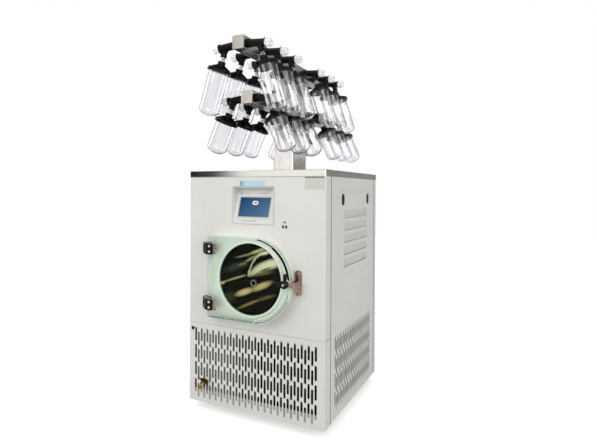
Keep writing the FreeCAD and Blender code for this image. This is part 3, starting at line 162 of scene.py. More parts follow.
# Moulded natural rubber of valves, lids and feet: black with a soft gloss and a slight bloom.
moulded_rubber = finish(
    "moulded_black_rubber", "#040405", "#0B0B0C", 16, 0.9, (0.12, 0.24), 0.03, Specular_IOR_Level=0.14)
# Stoving enamel on castings and on the compressor: black and glossy, with a little flow.
black_enamel = finish(
    "black_stoving_enamel", "#050506", "#0D0D0E", 10, 4.0, (0.1, 0.2), 0.04, Specular_IOR_Level=0.16)
# Injection-moulded ABS: black and matt, from a spark-eroded grain.
black_abs = finish("black_moulded_abs", "#070708", "#101011", 18, 0.6, (0.34, 0.5), 0.03, Specular_IOR_Level=0.16)
# Milled polyethylene ring behind the door: creamy white, waxy and matt.
white_flange = finish("white_milled_polyethylene", "#E4E5DC", "#ECEDE5", 60, 1.2, (0.36, 0.5), 0.03)
# Dark matt sheet of painted shade inside the side panels' slots, coarse and without gloss.
dark_shade_sheet = finish("dark_painted_shade_sheet", "#232420", "#2F302B", 3, 0.7, (0.6, 0.8), 0.2)
# The same sheet in a paler grey: painted shade behind the front's left-hand slots.
grey_shade_sheet = finish("grey_painted_shade_sheet", "#66665F", "#777770", 3, 0.7, (0.6, 0.8), 0.2)
# Grey strips of painted shade in the seams of the casing and under the worktop's edge: an even matt grey.
seam_shade_grey = finish("grey_painted_seam_shade", "#6E6F6C", "#7C7D7A", 12, 0.6, (0.5, 0.65), 0.02)
# The same in a pale grey: painted shade in the seam of the front.
pale_seam_shade = finish("pale_painted_seam_shade", "#B4B6B2", "#BFC1BD", 12, 0.6, (0.5, 0.65), 0.02)
# Moulded nylon of rims, collars and rings: white with a soft gloss; on the latch's collar and the door's steps the
# white is a painted highlight.
white_nylon = finish("white_moulded_nylon", "#F0F0EC", "#F8F8F4", 20, 0.6, (0.28, 0.4), 0.02)
# Frosted polypropylene of the valve knobs: light comes through it and spreads, and a faint painted glow keeps it white
# all round.
frosted_knob = finish(
    "frosted_polypropylene", "#FBFBFA", "#FEFEFD", 10, 0.6, (0.3, 0.45), 0.03, Transmission_Weight=0.45,
    Emission_Color=(1.0, 1.0, 1.0, 1.0), Emission_Strength=0.08)
# Clear polycarbonate adapters: glossy and see-through, with bright strong bending at the edges.
clear_adapter = finish(
    "clear_polycarbonate", "#F0F2F2", "#F9FAFA", 10, 1.0, (0.04, 0.12), 0.01, Transmission_Weight=0.92, IOR=1.585)
# Silicone rubber of the door's face seal and edge bead: pale, matt and a little translucent.
silicone = finish(
    "pale_silicone_rubber", "#F4F6EE", "#FDFDF8", 8, 0.8, (0.4, 0.55), 0.03, Subsurface_Weight=0.1,
    Subsurface_Scale=0.002)
# Cast acrylic door: clear and even, with a pale green body colour.
cast_acrylic = finish(
    "cast_acrylic_sheet", "#EEF8F1", "#F2FAF5", 60, 30, (0.0, 0.02), 0.01, Transmission_Weight=1.0, IOR=1.12)
# The door's lower edge as sawn: frosted, and grey-green as painted shade.
sawn_acrylic = finish("sawn_acrylic_edge", "#93A491", "#9DAE9B", 30, 1.0, (0.5, 0.7), 0.05)
# Blown borosilicate: clear and faintly cool, with the waviness of drawn tube.
borosilicate = finish(
    "borosilicate_glass", "#EDEDF0", "#F4F4F6", 50, 90, (0.0, 0.02), 0.03, (1, 1, 3), Transmission_Weight=1.0,
    IOR=1.47)
# Planished and polished stainless inside the drum: painted near black for the shade inside it, with streaks of painted
# reflection along its length.
drum_steel = finish(
    "planished_drum_stainless", "#020301", "#0C0B06", 16, 3.0, (0.06, 0.14), 0.2, (9, 12, 1), Metallic=1.0,
    Specular_Tint=(0.3, 0.3, 0.25, 1.0))
# Screen-printed inks: thin, flat and even, with hardly any gloss.
# Grey ink also draws the door's edge lines, which are painted shade.
grey_ink = finish("grey_screen_ink", "#6E716F", "#7E817F", 4, 0.5, (0.4, 0.5), 0.005)
pale_ink = finish("pale_screen_ink", "#BFC1BE", "#CACCC9", 4, 0.5, (0.4, 0.5), 0.005)
# Soft grey of painted shade: the shadow line round the display's recess and the side panel's pressed creases.
shade_line_grey = finish("soft_grey_painted_shade", "#A2A4A1", "#AFB1AE", 4, 0.5, (0.4, 0.5), 0.005)
dark_ink = finish("dark_grey_ink", "#3C3E3D", "#4A4C4B", 4, 0.5, (0.4, 0.5), 0.005)
teal_ink = finish("teal_screen_ink", "#7FC4B4", "#97CFC2", 4, 0.5, (0.4, 0.5), 0.005)
# Printed polyester label film: smooth pale blue with a slight sheen.
blue_label = finish("pale_blue_label_film", "#B4D6EA", "#C6E0EE", 14, 0.5, (0.3, 0.4), 0.005)
# Metallised film of the nameplate: pale grey with fine speckles.
etched_plate = finish("speckled_grey_film", "#C6C6BE", "#DEDED4", 2.5, 0.5, (0.3, 0.42), 0.01)

# The share of its half size over which a laid-over patch fades in from its rim.
SOFT_RIM = 0.62


def lay_over(material, patches, spread, glow=0.0):
    """Lays soft oval patches over a finish, each a middle and half sizes in mm, a lean in degrees and a tone.

    With a glow the patches shine by themselves, and leave the finish's own colour as it is.
    """
    tree = material.node_tree
    shader = tree.nodes["Principled BSDF"]
    tone = shader.inputs["Base Color"].links[0].from_socket
    place = add(tree, "TexCoord").outputs["Object"]
    for middle_point, half_sizes, lean, code in patches:
        fitted = add(tree, "Mapping", {
            "Vector": place, "Location": [v * MM for v in middle_point], "Rotation": (0, math.radians(-lean), 0),
            "Scale": [v * MM for v in half_sizes]}, vector_type="TEXTURE")
        ball = add(tree, "TexGradient", {"Vector": fitted}, gradient_type="SPHERICAL")
        share = add(tree, "MapRange", {"Value": ball.outputs["Fac"], "From Max": spread})
        tone = add(tree, "Mix", {0: share, 6: tone, 7: colour(code)}, data_type="RGBA").outputs[2]
    tree.links.new(tone, shader.inputs["Emission Color" if glow else "Base Color"])
    shader.inputs["Emission Strength"].default_value = glow


# What the drum's polished wall mirrors, in streaks along its axis, and then what its end mirrors.
# The streaks are a fixed pattern that glows by itself.
lay_over(drum_steel, (
    ((-147, -250, 651), (26, 130, 26), 0, "#2B352A"), ((-118, -345, 530), (30, 60, 30), 0, "#302F16"),
    ((-131, -200, 697), (10, 100, 10), 0, "#77765A"), ((-147, -195, 654), (9, 60, 9), 0, "#66684E"),
    ((-147.5, -250, 597), (7, 140, 7), 0, "#8F8F62"), ((-147, -358, 594), (8, 26, 8), 0, "#C9A966"),
    ((-117, -225, 530), (19, 90, 19), 0, "#C2B078"), ((-66, -262, 489), (11, 135, 11), 0, "#7E6D3C"),
    ((-80, -168, 716), (66, 20, 11), 19, "#A9A682"), ((-120, -168, 677), (48, 20, 8), 30, "#8A8964"),
    ((-49, -168, 612), (64, 20, 11), 15, "#5E5A2C"), ((-60, -168, 551), (74, 20, 19), 24, "#BBA86E"),
    ((-33, -168, 500), (64, 20, 12), 20, "#574D2C"), ((-128, -172, 612), (26, 20, 9), 76, "#B9BC8E"),
    ((-118, -172, 642), (28, 20, 7), 68, "#A9AC80"), ((-101, -168, 671), (28, 20, 7), 55, "#B5B68C"),
    ((-77, -168, 695), (30, 20, 8), 38, "#C4C49C"), ((-44, -168, 708), (38, 20, 11), 16, "#D9D3AE"),
    ((-98, -168, 617), (48, 20, 17), 34, "#B3B48C"), ((-58, -168, 641), (68, 20, 26), 26, "#CFCBA6"),
    ((-8, -168, 659), (68, 20, 28), 18, "#D8D2B0"), ((-40, -168, 632), (50, 8, 5), 22, "#3A4428")), SOFT_RIM, 1.0)
# Painted shade: the front sheet darkens towards the fan.
lay_over(grey_shade_sheet, (((60, 0, 240), (220, 9000, 9000), 0, "#161615"),), SOFT_RIM)
# Deeper blue at the label's left end.
lay_over(blue_label, (
    ((-72, 0, 1033), (34, 9000, 40), 0, "#7FBDDF"), ((-62, 0, 1033), (8, 9000, 8), 0, "#5AA3CF")), 0.6)


def darken_edge_on(material, code):
    """Greys a glass where it is seen edge on, but not when it is seen through a vessel in front of it."""
    tree = material.node_tree
    shader = tree.nodes["Principled BSDF"]
    tone = shader.inputs["Base Color"].links[0].from_socket
    lean = add(tree, "LayerWeight", {"Blend": 0.5}).outputs["Facing"]
    share = add(tree, "MapRange", {"Value": lean, "From Min": 0.45, "From Max": 1.0})
    mixed = add(tree, "Mix", {0: share, 6: tone, 7: colour(code)}, data_type="RGBA")
    # A ray that has passed a whole vessel has gone through four surfaces.
    depth = add(tree, "LightPath").outputs["Transmission Depth"]
    behind = add(tree, "MapRange", {"Value": depth, "From Min": 3.5, "From Max": 4.5})
    clear = add(tree, "Mix", {0: behind, 6: mixed.outputs[2], 7: (1.0, 1.0, 1.0, 1.0)}, data_type="RGBA")
    tree.links.new(clear.outputs[2], shader.inputs["Base Color"])


darken_edge_on(borosilicate, "#A6A6AC")


def lit_display():
    """Display behind glass: a blue field, deeper at the upper left, that gives off a little light."""
    # Toughened glass over the display: dark, smooth and glossy.
    material = bpy.data.materials.new("lit_display_glass")
    material.use_nodes = True
    tree = material.node_tree
    shader = tree.nodes["Principled BSDF"]
    shader.inputs["Roughness"].default_value = 0.12
    shader.inputs["Specular IOR Level"].default_value = 0.25
    shader.inputs["Emission Strength"].default_value = 0.06
    corner = low("touch_screen")
    size = high("touch_screen") - corner
    place = add(tree, "TexCoord").outputs["Object"]
    fitted = add(tree, "Mapping", {
        "Vector": place,
        "Location": tuple(-corner[i] / size[i] for i in range(3)),
        "Scale": tuple(1 / size[i] for i in range(3))})
    parts = add(tree, "SeparateXYZ", {"Vector": fitted})
    slope = add(tree, "Math", {0: parts.outputs["X"], 1: parts.outputs["Z"]}, operation="SUBTRACT")
    ramp = add(tree, "MapRange", {"Value": slope, "From Min": -0.9, "From Max": 0.8})
    field = add(tree, "Mix", {0: ramp, 6: colour("#12406F"), 7: colour("#4A6E8E")}, data_type="RGBA")
    tree.links.new(field.outputs[2], shader.inputs["Base Color"])
    tree.links.new(field.outputs[2], shader.inputs["Emission Color"])
    return material


display_glass = lit_display()

FINISHES = {
    "frame": shaded_frame_coat, "front_panel": powder_coat, "grille_panel": powder_coat,
    "left_side_panel": powder_coat, "right_side_panel": powder_coat, "rear_panel": powder_coat,
    "display_housing": powder_coat, "worktop": brushed_sheet, "levelling_feet": moulded_rubber,
    "touch_screen": display_glass, "power_button": black_abs, "panel_lock": black_abs,
    "chamber_flange": white_flange, "condenser_chamber": drum_steel, "evaporator_coil": copper_pipe,
    "door_seals": silicone, "chamber_door": cast_acrylic, "hinge_brackets": black_enamel,
    "hinge_pins": plated_steel, "hinge_leaves": bright_casting, "latch_lever": black_enamel,
    "latch_keeper": bright_casting, "drain_valve_body": turned_brass, "drain_valve_lever": black_abs,
    "manifold_post": brushed_post, "manifold_bars": brushed_tube, "valve_bodies": moulded_rubber,
    "flask_adapters": clear_adapter, "flask_lids": moulded_rubber, "flasks": borosilicate,
    "compressor": black_enamel, "condenser": fin_stock, "condenser_fan": black_abs, "fan_motor": black_enamel,
    "mains_inlet": black_abs, "pump_port": brushed_tube,
}
for node, thing in frame["nodes"].items():
    thing.data.materials.clear()
    thing.data.materials.append(FINISHES.get(node, frosted_knob))


# ------------------------------------------------------------------ shaping helpers
# Steps in a plate's corner, a hoop's corner and a long arc, and round a screw, a ring, the latch and a flask.
PLATE_STEPS, HOOP_STEPS, ARC_STEPS = 5, 8, 48
SCREW_STEPS, RING_STEPS, LATCH_STEPS, FLASK_STEPS = 20, 32, 40, 44
# Heights nearer than the first count as level, and points nearer than the second are joined.
LEVEL_WITHIN, JOIN_WITHIN = 1e-9, 1e-7
# Faces that meet at less than this are shaded as one.
SMOOTH_BELOW = math.radians(35.0)
# Thickness of blades, printed marks and thin films.
FILM = 0.2 * MM


def facing(point, way, up=UP):
    """Matrix that stands a shape drawn on the XY plane at a point, facing a way, its Y nearest to up."""
    z_axis = Vector(way).normalized()
    x_axis = Vector(up).cross(z_axis).normalized()
    turn = Matrix((x_axis, z_axis.cross(x_axis), z_axis)).transposed().to_4x4()
    return Matrix.Translation(point) @ turn


def rectangle(width, height):
    """Flat rectangle on the XY plane, about its middle."""
    shape = bmesh.new()
    bmesh.ops.create_grid(shape, x_segments=1, y_segments=1, size=0.5)
    bmesh.ops.scale(shape, vec=(width, height, 1), verts=shape.verts)
    return shape


def round_corners(shape, corner, steps):
    bmesh.ops.bevel(
        shape, geom=shape.verts[:], offset=corner, segments=steps, profile=0.5, affect="VERTICES", material=-1)


def plate(width, height, thickness, corner, edge=0.0):
    """Rounded plate on the XY plane; edge rounds the rim of its upper face."""
    shape = rectangle(width, height)
    round_corners(shape, corner, PLATE_STEPS)
    raise_faces(shape, shape.faces[:], thickness, edge)
    return shape


def raise_faces(shape, faces, height, edge=0.0):
    """Extrudes flat faces upwards into a solid and rounds its upper rim."""
    grown = bmesh.ops.extrude_face_region(shape, geom=faces)["geom"]
    bmesh.ops.translate(shape, vec=(0, 0, height), verts=[v for v in grown if isinstance(v, bmesh.types.BMVert)])
    if edge:
        rim = [
            e for e in shape.edges
            if all(abs(v.co.z - height) < LEVEL_WITHIN for v in e.verts)
            and len({round(f.normal.z) for f in e.link_faces}) == 2]
        bmesh.ops.bevel(shape, geom=rim, offset=edge, segments=2, profile=0.5, affect="EDGES", material=-1)


def hoop(width, height, corner, band, thickness, edge=0.0):
    """Flat rounded ring on the XY plane, band wide."""
    shape = rectangle(width, height)
    round_corners(shape, corner, HOOP_STEPS)
    hole = shape.faces[:]
    bmesh.ops.inset_region(shape, faces=hole, thickness=band, use_even_offset=True, use_boundary=True)
    bmesh.ops.delete(shape, geom=hole, context="FACES")
    raise_faces(shape, shape.faces[:], thickness, edge)
    return shape


def turned(profile, steps):
    """Solid of revolution about Z from (radius, height) pairs."""
    shape = bmesh.new()
    points = [shape.verts.new((radius, 0, height)) for radius, height in profile]
    line = [shape.edges.new(pair) for pair in zip(points, points[1:])]
    bmesh.ops.spin(
        shape, geom=points + line, cent=(0, 0, 0), axis=(0, 0, 1), angle=math.tau, steps=steps, use_merge=True)
    bmesh.ops.remove_doubles(shape, verts=shape.verts, dist=JOIN_WITHIN)
    return shape


def ring(section, steps=RING_STEPS):
    """Ring turned from the corners of its section, as (radius, height) pairs."""
    return turned(section + section[:1], steps)


def set_at(shape, matrix):
    bmesh.ops.transform(shape, matrix=matrix, verts=shape.verts)
    return shape


def make(name, shapes, material, body="cabinet"):
    """Joins shapes into one piece that rides on a body."""
    mesh = bpy.data.meshes.new(name)
    whole = bmesh.new()
    for shape in shapes:
        shape.to_mesh(mesh)
        shape.free()
        whole.from_mesh(mesh)
    bmesh.ops.recalc_face_normals(whole, faces=whole.faces)
    whole.to_mesh(mesh)
    whole.free()
    mesh.materials.append(material)
    mesh.shade_smooth()
    mesh.set_sharp_from_angle(angle=SMOOTH_BELOW)
    thing = bpy.data.objects.new(name, mesh)
    bpy.context.scene.collection.objects.link(thing)
    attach(thing, body)
    return thing


# ------------------------------------------------------------------ screws
def domed(radius, heights):
    """Low dome, from its heights in the middle, half way, near the rim, at the rim and at its foot."""
    middle_height, half_way, near_rim, rim, foot = heights
    return turned([
        (0, middle_height), (0.5 * radius, half_way), (0.84 * radius, near_rim), (radius, rim), (radius, foot),
        (0, foot)], SCREW_STEPS)


def screw_head(radius):
    """Low pan head."""
    return domed(radius, [share * radius for share in (0.55, 0.52, 0.36, 0.08, -0.05)])


def screw_cross(radius):
    """Two crossed bars, for the recess in a screw's head."""
    long, wide, thick, corner = 1.1 * radius, 0.26 * radius, 0.04 * radius, 0.1 * radius
    return [plate(long, wide, thick, corner), plate(wide, long, thick, corner)]


def make_screws(name, places, radius, body="cabinet"):
    """Cross-head screws at (point, way) places; the dark cross lies just on top of each head."""
    heads = []
    recesses = []
    for point, way in places:
        stand = facing(point, way)
        heads.append(set_at(screw_head(radius), stand))
        lifted = stand @ Matrix.Translation((0, 0, 0.54 * radius))
        recesses += [set_at(bar, lifted) for bar in screw_cross(radius)]
    make(name, heads, plated_steel, body)
    make(name + "_recesses", recesses, black_abs, body)


def side_screws():
    """Screws in each side panel: two before the front grip, one behind the rear grip, three at the front edge."""
    sunk = 1.3 * MM
    places = []
    for side in (-1, 1):
        for y, z in ((-0.201, 0.972), (-0.179, 0.997), (0.267, 0.976), (-0.318, 0.42), (-0.318, 1.04), (-0.318, 0.06)):
            places.append((Vector((side * (side_face - sunk), y, z)), (side, 0, 0)))
    make_screws("side_panel_screws", places, 3.4 * MM)


side_screws()


# ------------------------------------------------------------------ side grips
def make_grips():
    """Obround finger cups behind the side panels' openings, each in a raised white rim with a black one inside it."""
    rims = []
    cups = []
    level, front_grip, rear_grip = 0.965, -0.153, 0.197
    cup_depth = 0.0026
    for side in (-1, 1):
        for y in (front_grip, rear_grip):
            face = facing((side * side_face, y, level), (side, 0, 0))
            rims.append(set_at(hoop(0.046, 0.064, 0.0229, 0.0045, 0.0005, 0.0001), face))
            cups.append(set_at(hoop(0.0372, 0.0520, 0.0100, 0.0048, 0.0004, 0.0001), face))
            sunk = face @ Matrix.Translation((0, 0, -cup_depth))
            cups.append(set_at(plate(0.036, 0.054, 0.002, 0.0175), sunk))
    make("grip_rims", rims, white_nylon)
    make("grip_cups", cups, black_abs)


make_grips()


# ------------------------------------------------------------------ panel seams
def bar_between(start, end, wide, thick):
    """Flat bar on its own axis from one point to another."""
    way = Vector(end) - Vector(start)
    shape = bmesh.new()
    bmesh.ops.create_cube(shape, size=1.0)
    bmesh.ops.scale(shape, vec=(wide, thick, way.length), verts=shape.verts)
    turn = UP.rotation_difference(way).to_matrix().to_4x4()
    return set_at(shape, Matrix.Translation((Vector(start) + Vector(end)) / 2) @ turn)


# How far a strip stops short of the casing's corners, and an upright line of its top and foot.
CORNER_GAP, END_GAP = 0.007, 0.002


def make_seam_shades():
    """Grey strips of painted shade in the seams between the panels, and a paler one across the front."""
    front_edge, rear_edge = high("front_panel").y, low("rear_panel").y
    seam = (high("grille_panel").z + low("front_panel").z) / 2
    flush = side_face - 1.0 * MM
    half_seam, deep, wide, thin = 0.75 * MM, 2.6 * MM, 7.0 * MM, 2.2 * MM
    seam_shades = []
    for side in (-1, 1):
        x = side * flush
        for y in (front_edge + half_seam, rear_edge - half_seam):
            seam_shades.append(bar_between((x, y, foot_level + END_GAP), (x, y, crown_level - END_GAP), deep, wide))
        seam_shades.append(bar_between((x, front_face + 0.006, seam), (x, front_edge, seam), thin, thin))
    make("panel_seam_shades", seam_shades, seam_shade_grey)
    y, reach = front_face + 0.9 * MM, flush - CORNER_GAP
    front = bar_between((-reach, y, seam), (reach, y, seam), thin, thin)
    make("front_seam_shade", [front], pale_seam_shade)


def make_side_lips():
    """Folded lip along the foot and up the front edge of each side panel, in a painted highlight."""
    front_lip, rear_end = high("front_panel").y + 6.5 * MM, low("rear_panel").y - 6.5 * MM
    foot_lip, start = foot_level + 1.9 * MM, foot_level + 5 * MM
    deep = 2.8 * MM
    lips = []
    for side in (-1, 1):
        x = side * (side_face - 0.9 * MM)
        lips.append(bar_between((x, front_lip, foot_lip), (x, rear_end, foot_lip), deep, 3.0 * MM))
        lips.append(bar_between((x, front_lip, start), (x, front_lip, crown_level - END_GAP), deep, 4.4 * MM))
    make("side_panel_lips", lips, highlight_coat)


def make_worktop_shadow_lines():
    """Grey strips of painted shadow under the worktop's edge, along the front and both sides."""
    level = low("worktop").z - 0.0012
    thin, wide = 1.0 * MM, 2.4 * MM
    y, reach = front_face - 0.2 * MM, side_face - CORNER_GAP
    strips = [bar_between((-reach, y, level), (reach, y, level), thin, wide)]
    for side in (-1, 1):
        x = side * (side_face - 1.0 * MM)
        ends = (x, front_face + CORNER_GAP, level), (x, rear_face - CORNER_GAP, level)
        strips.append(bar_between(*ends, wide, thin))
    make("worktop_shadow_lines", strips, seam_shade_grey)


make_seam_shades()
make_side_lips()
make_worktop_shadow_lines()


# ------------------------------------------------------------------ pressed side panels
def make_louvre_faces():
    """Painted shade on the right side: films on the louvre blades under their lips, and grey lines at the pressed
    creases above and below them.
    """
    louvres, top_louvre, pitch = 5, 859.0, 54.0
    sunk, tilt = 2.6 * MM, (6.0, 0, -1.0)
    blades = []
    for index in range(louvres):
        level = low("right_side_panel").z + (top_louvre - pitch * index) * MM
        face = facing((side_face - sunk, 0.022, level), tilt)
        blades.append(set_at(plate(0.318, 0.0352, FILM, 0.0006), face))
    make("louvre_faces", blades, shaded_coat)
    lines = [
        bar_between((side_face, front, z), (side_face, rear, z), 1.0 * MM, 0.3 * MM)
        for front, rear, z in ((-0.183, 0.193, 0.999), (-0.169, 0.236, 0.628))]
    make("pressed_lines", lines, shade_line_grey)


make_louvre_faces()


# ------------------------------------------------------------------ labels and marks on the front
def on_front(shape, x, z, lift=0.0):
    """Stands a flat shape on the front panel."""
    return set_at(shape, facing((x, front_face - lift, z), FRONT))


def make_front_marks():
    """Blank blue label film over the display, a bare nameplate, and the button's collar, crown and ticks."""
    label = on_front(plate(0.126, 0.025, 0.3 * MM, 0.001), -0.003, 1.0325)
    make("blue_label", [label], blue_label)
    plate_x, plate_thick = 0.2915, 0.4 * MM
    nameplate = on_front(plate(0.087, 0.052, plate_thick, 0.002), plate_x, 1.034)
    make("nameplate", [nameplate], etched_plate)
    head = on_front(plate(0.087, 0.005, FILM, 0.001), plate_x, 1.0572, plate_thick)
    make("nameplate_head", [head], grey_ink)
    button = middle("power_button")
    ticks = [
        on_front(plate(0.0105, 0.0125, FILM, 0.0012), button.x + shift, button.z - 0.0195)
        for shift in (-0.0075, 0.0075)]
    make("button_ticks", ticks, dark_ink)
    collar = ring([(0.0066, 0), (0.0105, 0), (0.0100, 0.0014), (0.0070, 0.0014)])
    make("button_collar", [on_front(collar, button.x, button.z)], white_nylon)
    face = ring([(0.0034, 0), (0.0056, 0), (0.0056, 0.0004), (0.0034, 0.0004)])
    crown = set_at(face, facing((button.x, low("power_button").y + 0.1 * MM, button.z), FRONT))
    make("button_crown", [crown], white_nylon, "button")


make_front_marks()


# ------------------------------------------------------------------ display face
def display_frame():
    """Matrix of the sloping display face: X across, Y up the slope, Z out of it."""
    box_low, box_high = low("touch_screen"), high("touch_screen")
    rise = box_high.z - box_low.z
    fall = box_high.y - box_low.y
    # The screen's own thickness and its length up the slope.
    thick, length = 6.0 * MM, 86.0 * MM
    angle = math.atan2(fall * length - rise * thick, rise * length - fall * thick)
    slope = Vector((0, math.sin(angle), math.cos(angle)))
    out = RIGHT.cross(slope)
    centre = (box_low + box_high) / 2 + out * thick / 2
    return Matrix.Translation(centre) @ Matrix((RIGHT, slope, out)).transposed().to_4x4()


def make_display_marks():
    """Bezel line, rim of the recess in a grey of painted shade, and plain marks without words on the screen and on the
    sill below it.
    """
    stand = display_frame()

    def on_screen(shape, x, y, lift):
        return set_at(shape, stand @ Matrix.Translation((x, y, lift)))

    line = on_screen(hoop(0.163, 0.097, 0.004, 0.0052, 0.3 * MM), 0, 0, 0.7 * MM)
    make("bezel_line", [line], pale_ink)
    outer_low, outer_high = low("display_housing"), high("display_housing")
    overlap = 0.004
    rim = hoop(
        outer_high.x - outer_low.x + overlap, outer_high.z - outer_low.z + overlap, 0.013, 0.0026, 0.8 * MM, 0.0003)
    make("recess_rim", [on_front(rim, 0, (outer_low.z + outer_high.z) / 2, 0.2 * MM)], shade_line_grey)
    header_level, header_lift = 0.0625, -1.2 * MM
    mark = on_screen(plate(0.012, 0.010, FILM, 0.002), -0.078, header_level, header_lift)
    make("header_mark", [mark], teal_ink)
    bars = [
        on_screen(plate(wide, 0.0045, FILM, 0.001), x, header_level, header_lift)
        for x, wide in ((-0.050, 0.030), (0.036, 0.046))]
    make("header_bars", bars, pale_ink)
    icon = on_screen(hoop(0.030, 0.018, 0.0088, 0.0060, 0.15 * MM), 0.002, 0.019, 0.1 * MM)
    make("screen_icon", [icon], white_nylon)
    strip = on_front(plate(0.078, 0.0045, FILM, 0.001), -0.022, outer_low.z + 0.013, 1.0 * MM)
    make("sill_strip", [strip], pale_ink)


make_display_marks()


# ------------------------------------------------------------------ hinges and latch
def dome(radius, rise):
    """Dome screw's head."""
    return domed(radius, [share * rise for share in (1, 0.86, 0.5, 0.1, -0.1)])


def make_hinge_covers():
    """Black cover over the pin side of each leaf, held by two bright dome screws; its black is a painted reflection of
    the polished leaf.
    """
    covers = []
    domes = []
    front = low("hinge_leaves").y - 0.3 * MM
    cover_thick = 0.0026
    for lift in (-0.122, 0.122):
        face = facing((low("chamber_door").x + 0.0105, front + 1.5 * MM, chamber_level + lift), FRONT)
        covers.append(set_at(plate(0.036, 0.047, cover_thick, 0.004, 0.0008), face))
        for up in (-0.012, 0.012):
            domes.append(set_at(dome(0.0058, 0.003), face @ Matrix.Translation((0.002, up, cover_thick))))
    make("hinge_covers", covers, black_enamel, "door")
    make("hinge_cover_screws", domes, plated_steel, "door")


def make_port_ring():
    """Pale ring round the small port in the drum's end."""
    port = (-0.104, -0.1683, 0.562)
    rim = ring([(0.0112, 0), (0.0160, 0), (0.0152, 0.0018), (0.0120, 0.0018)])
    make("port_ring", [set_at(rim, facing(port, FRONT))], white_nylon)


def make_latch_trim():
    """Pale collar round the latch's hub as a painted highlight, a bright cap on it, and a screw at each end of its
    keeper.
    """
    hub_x = high("chamber_door").x - 0.020
    collar = ring([(0.0172, 0), (0.0205, 0), (0.0200, 0.0016), (0.0178, 0.0020)], LATCH_STEPS)
    spindle = facing((hub_x, low("chamber_door").y, chamber_level), FRONT)
    make("latch_collar", [set_at(collar, spindle)], white_nylon, "door")
    cap = facing((hub_x, low("latch_lever").y + 0.1 * MM, chamber_level), FRONT)
    make("latch_cap", [set_at(dome(0.0055, 0.0012), cap)], plated_steel, "latch")
    box_low, box_high = low("latch_keeper"), high("latch_keeper")
    x, from_end = (box_low.x + box_high.x) / 2, 0.013
    places = [
        (Vector((x, front_face - 6.0 * MM, z)), FRONT) for z in (box_low.z + from_end, box_high.z - from_end)]
    make_screws("keeper_screws", places, 4.2 * MM)


make_hinge_covers()
make_port_ring()
make_latch_trim()


# ------------------------------------------------------------------ flasks
def flask_outline(radius, length, knuckle, crown):
    """(radius, height) points down a round-ended vessel from its side to the middle of its end.

    The side bends into the end round a knuckle, and the end is part of a sphere, the crown. Sizes in mm.
    """
    knuckle_steps, crown_steps = 6, 4
    rise = math.sqrt((crown - knuckle) ** 2 - (radius - knuckle) ** 2)
    joint = math.atan2(rise, radius - knuckle)
    level = length - crown + rise
    points = []
    for step in range(knuckle_steps + 1):
        angle = joint * step / knuckle_steps
        points.append((radius - knuckle + knuckle * math.cos(angle), level + knuckle * math.sin(angle)))
    for step in range(1, crown_steps + 1):
        angle = joint + (math.pi / 2 - joint) * step / crown_steps
        points.append((crown * math.cos(angle), length - crown + crown * math.sin(angle)))
    return [(max(r, 0.0) * MM, h * MM) for r, h in points]


def blown_flask(length):
    """Round-ended flask with a thickened rim and a wall of even thickness, its mouth at the origin."""
    radius, knuckle, crown, wall = 43.5, 24.0, 60.0, 2.5
    outside = flask_outline(radius, length, knuckle, crown)
    inside = flask_outline(radius - wall, length - wall, knuckle - wall, crown - wall)
    rim = [(0.0410, 0.0), (0.0450, 0.0), (0.0455, 0.0006), (0.0455, 0.0072), (0.0449, 0.0080), (0.0435, 0.0086)]
    return turned(inside[::-1] + rim + outside, FLASK_STEPS)


# Degrees that a tier's flasks lean off the vertical, and their length in mm.
HANGING = {"upper": (18.0, 195.0), "lower": (24.5, 147.0)}


def make_flasks():
    """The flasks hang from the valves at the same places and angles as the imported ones."""
    out_to_drop, drop_to_mouth = 0.055, 0.100
    glasses = []
    for joint in frame["record"]["behaviour"]["joints"]:
        if not joint["name"].startswith("knob_turn"):
            continue
        splay, length = HANGING["upper" if "upper" in joint["name"] else "lower"]
        way = Vector(joint["axis"])
        lean = math.radians(splay)
        down = Vector((math.copysign(math.sin(lean), way.x), 0, -math.cos(lean)))
        mouth = Vector(joint["pos_m"]) + way * out_to_drop + down * drop_to_mouth
        glasses.append(set_at(blown_flask(length), facing(mouth, down)))
    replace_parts(make("flask_glasses", glasses, borosilicate), "flasks")


make_flasks()


# ------------------------------------------------------------------ door edge
def arc_bar(radius, wide, thick, start, end):
    """Bar of rectangular section bent round Z, from one angle to another."""
    shape = rectangle(wide, thick)
    bmesh.ops.rotate(shape, cent=(0, 0, 0), matrix=Matrix.Rotation(math.pi / 2, 3, "X"), verts=shape.verts)
    bmesh.ops.translate(shape, vec=(radius, 0, thick / 2), verts=shape.verts)
    bmesh.ops.rotate(shape, cent=(0, 0, 0), matrix=Matrix.Rotation(math.radians(start), 3, "Z"), verts=shape.verts)
    section = shape.faces[:]
    bmesh.ops.spin(
        shape, geom=section, cent=(0, 0, 0), axis=(0, 0, 1), angle=math.radians(end - start), steps=ARC_STEPS)
    return shape


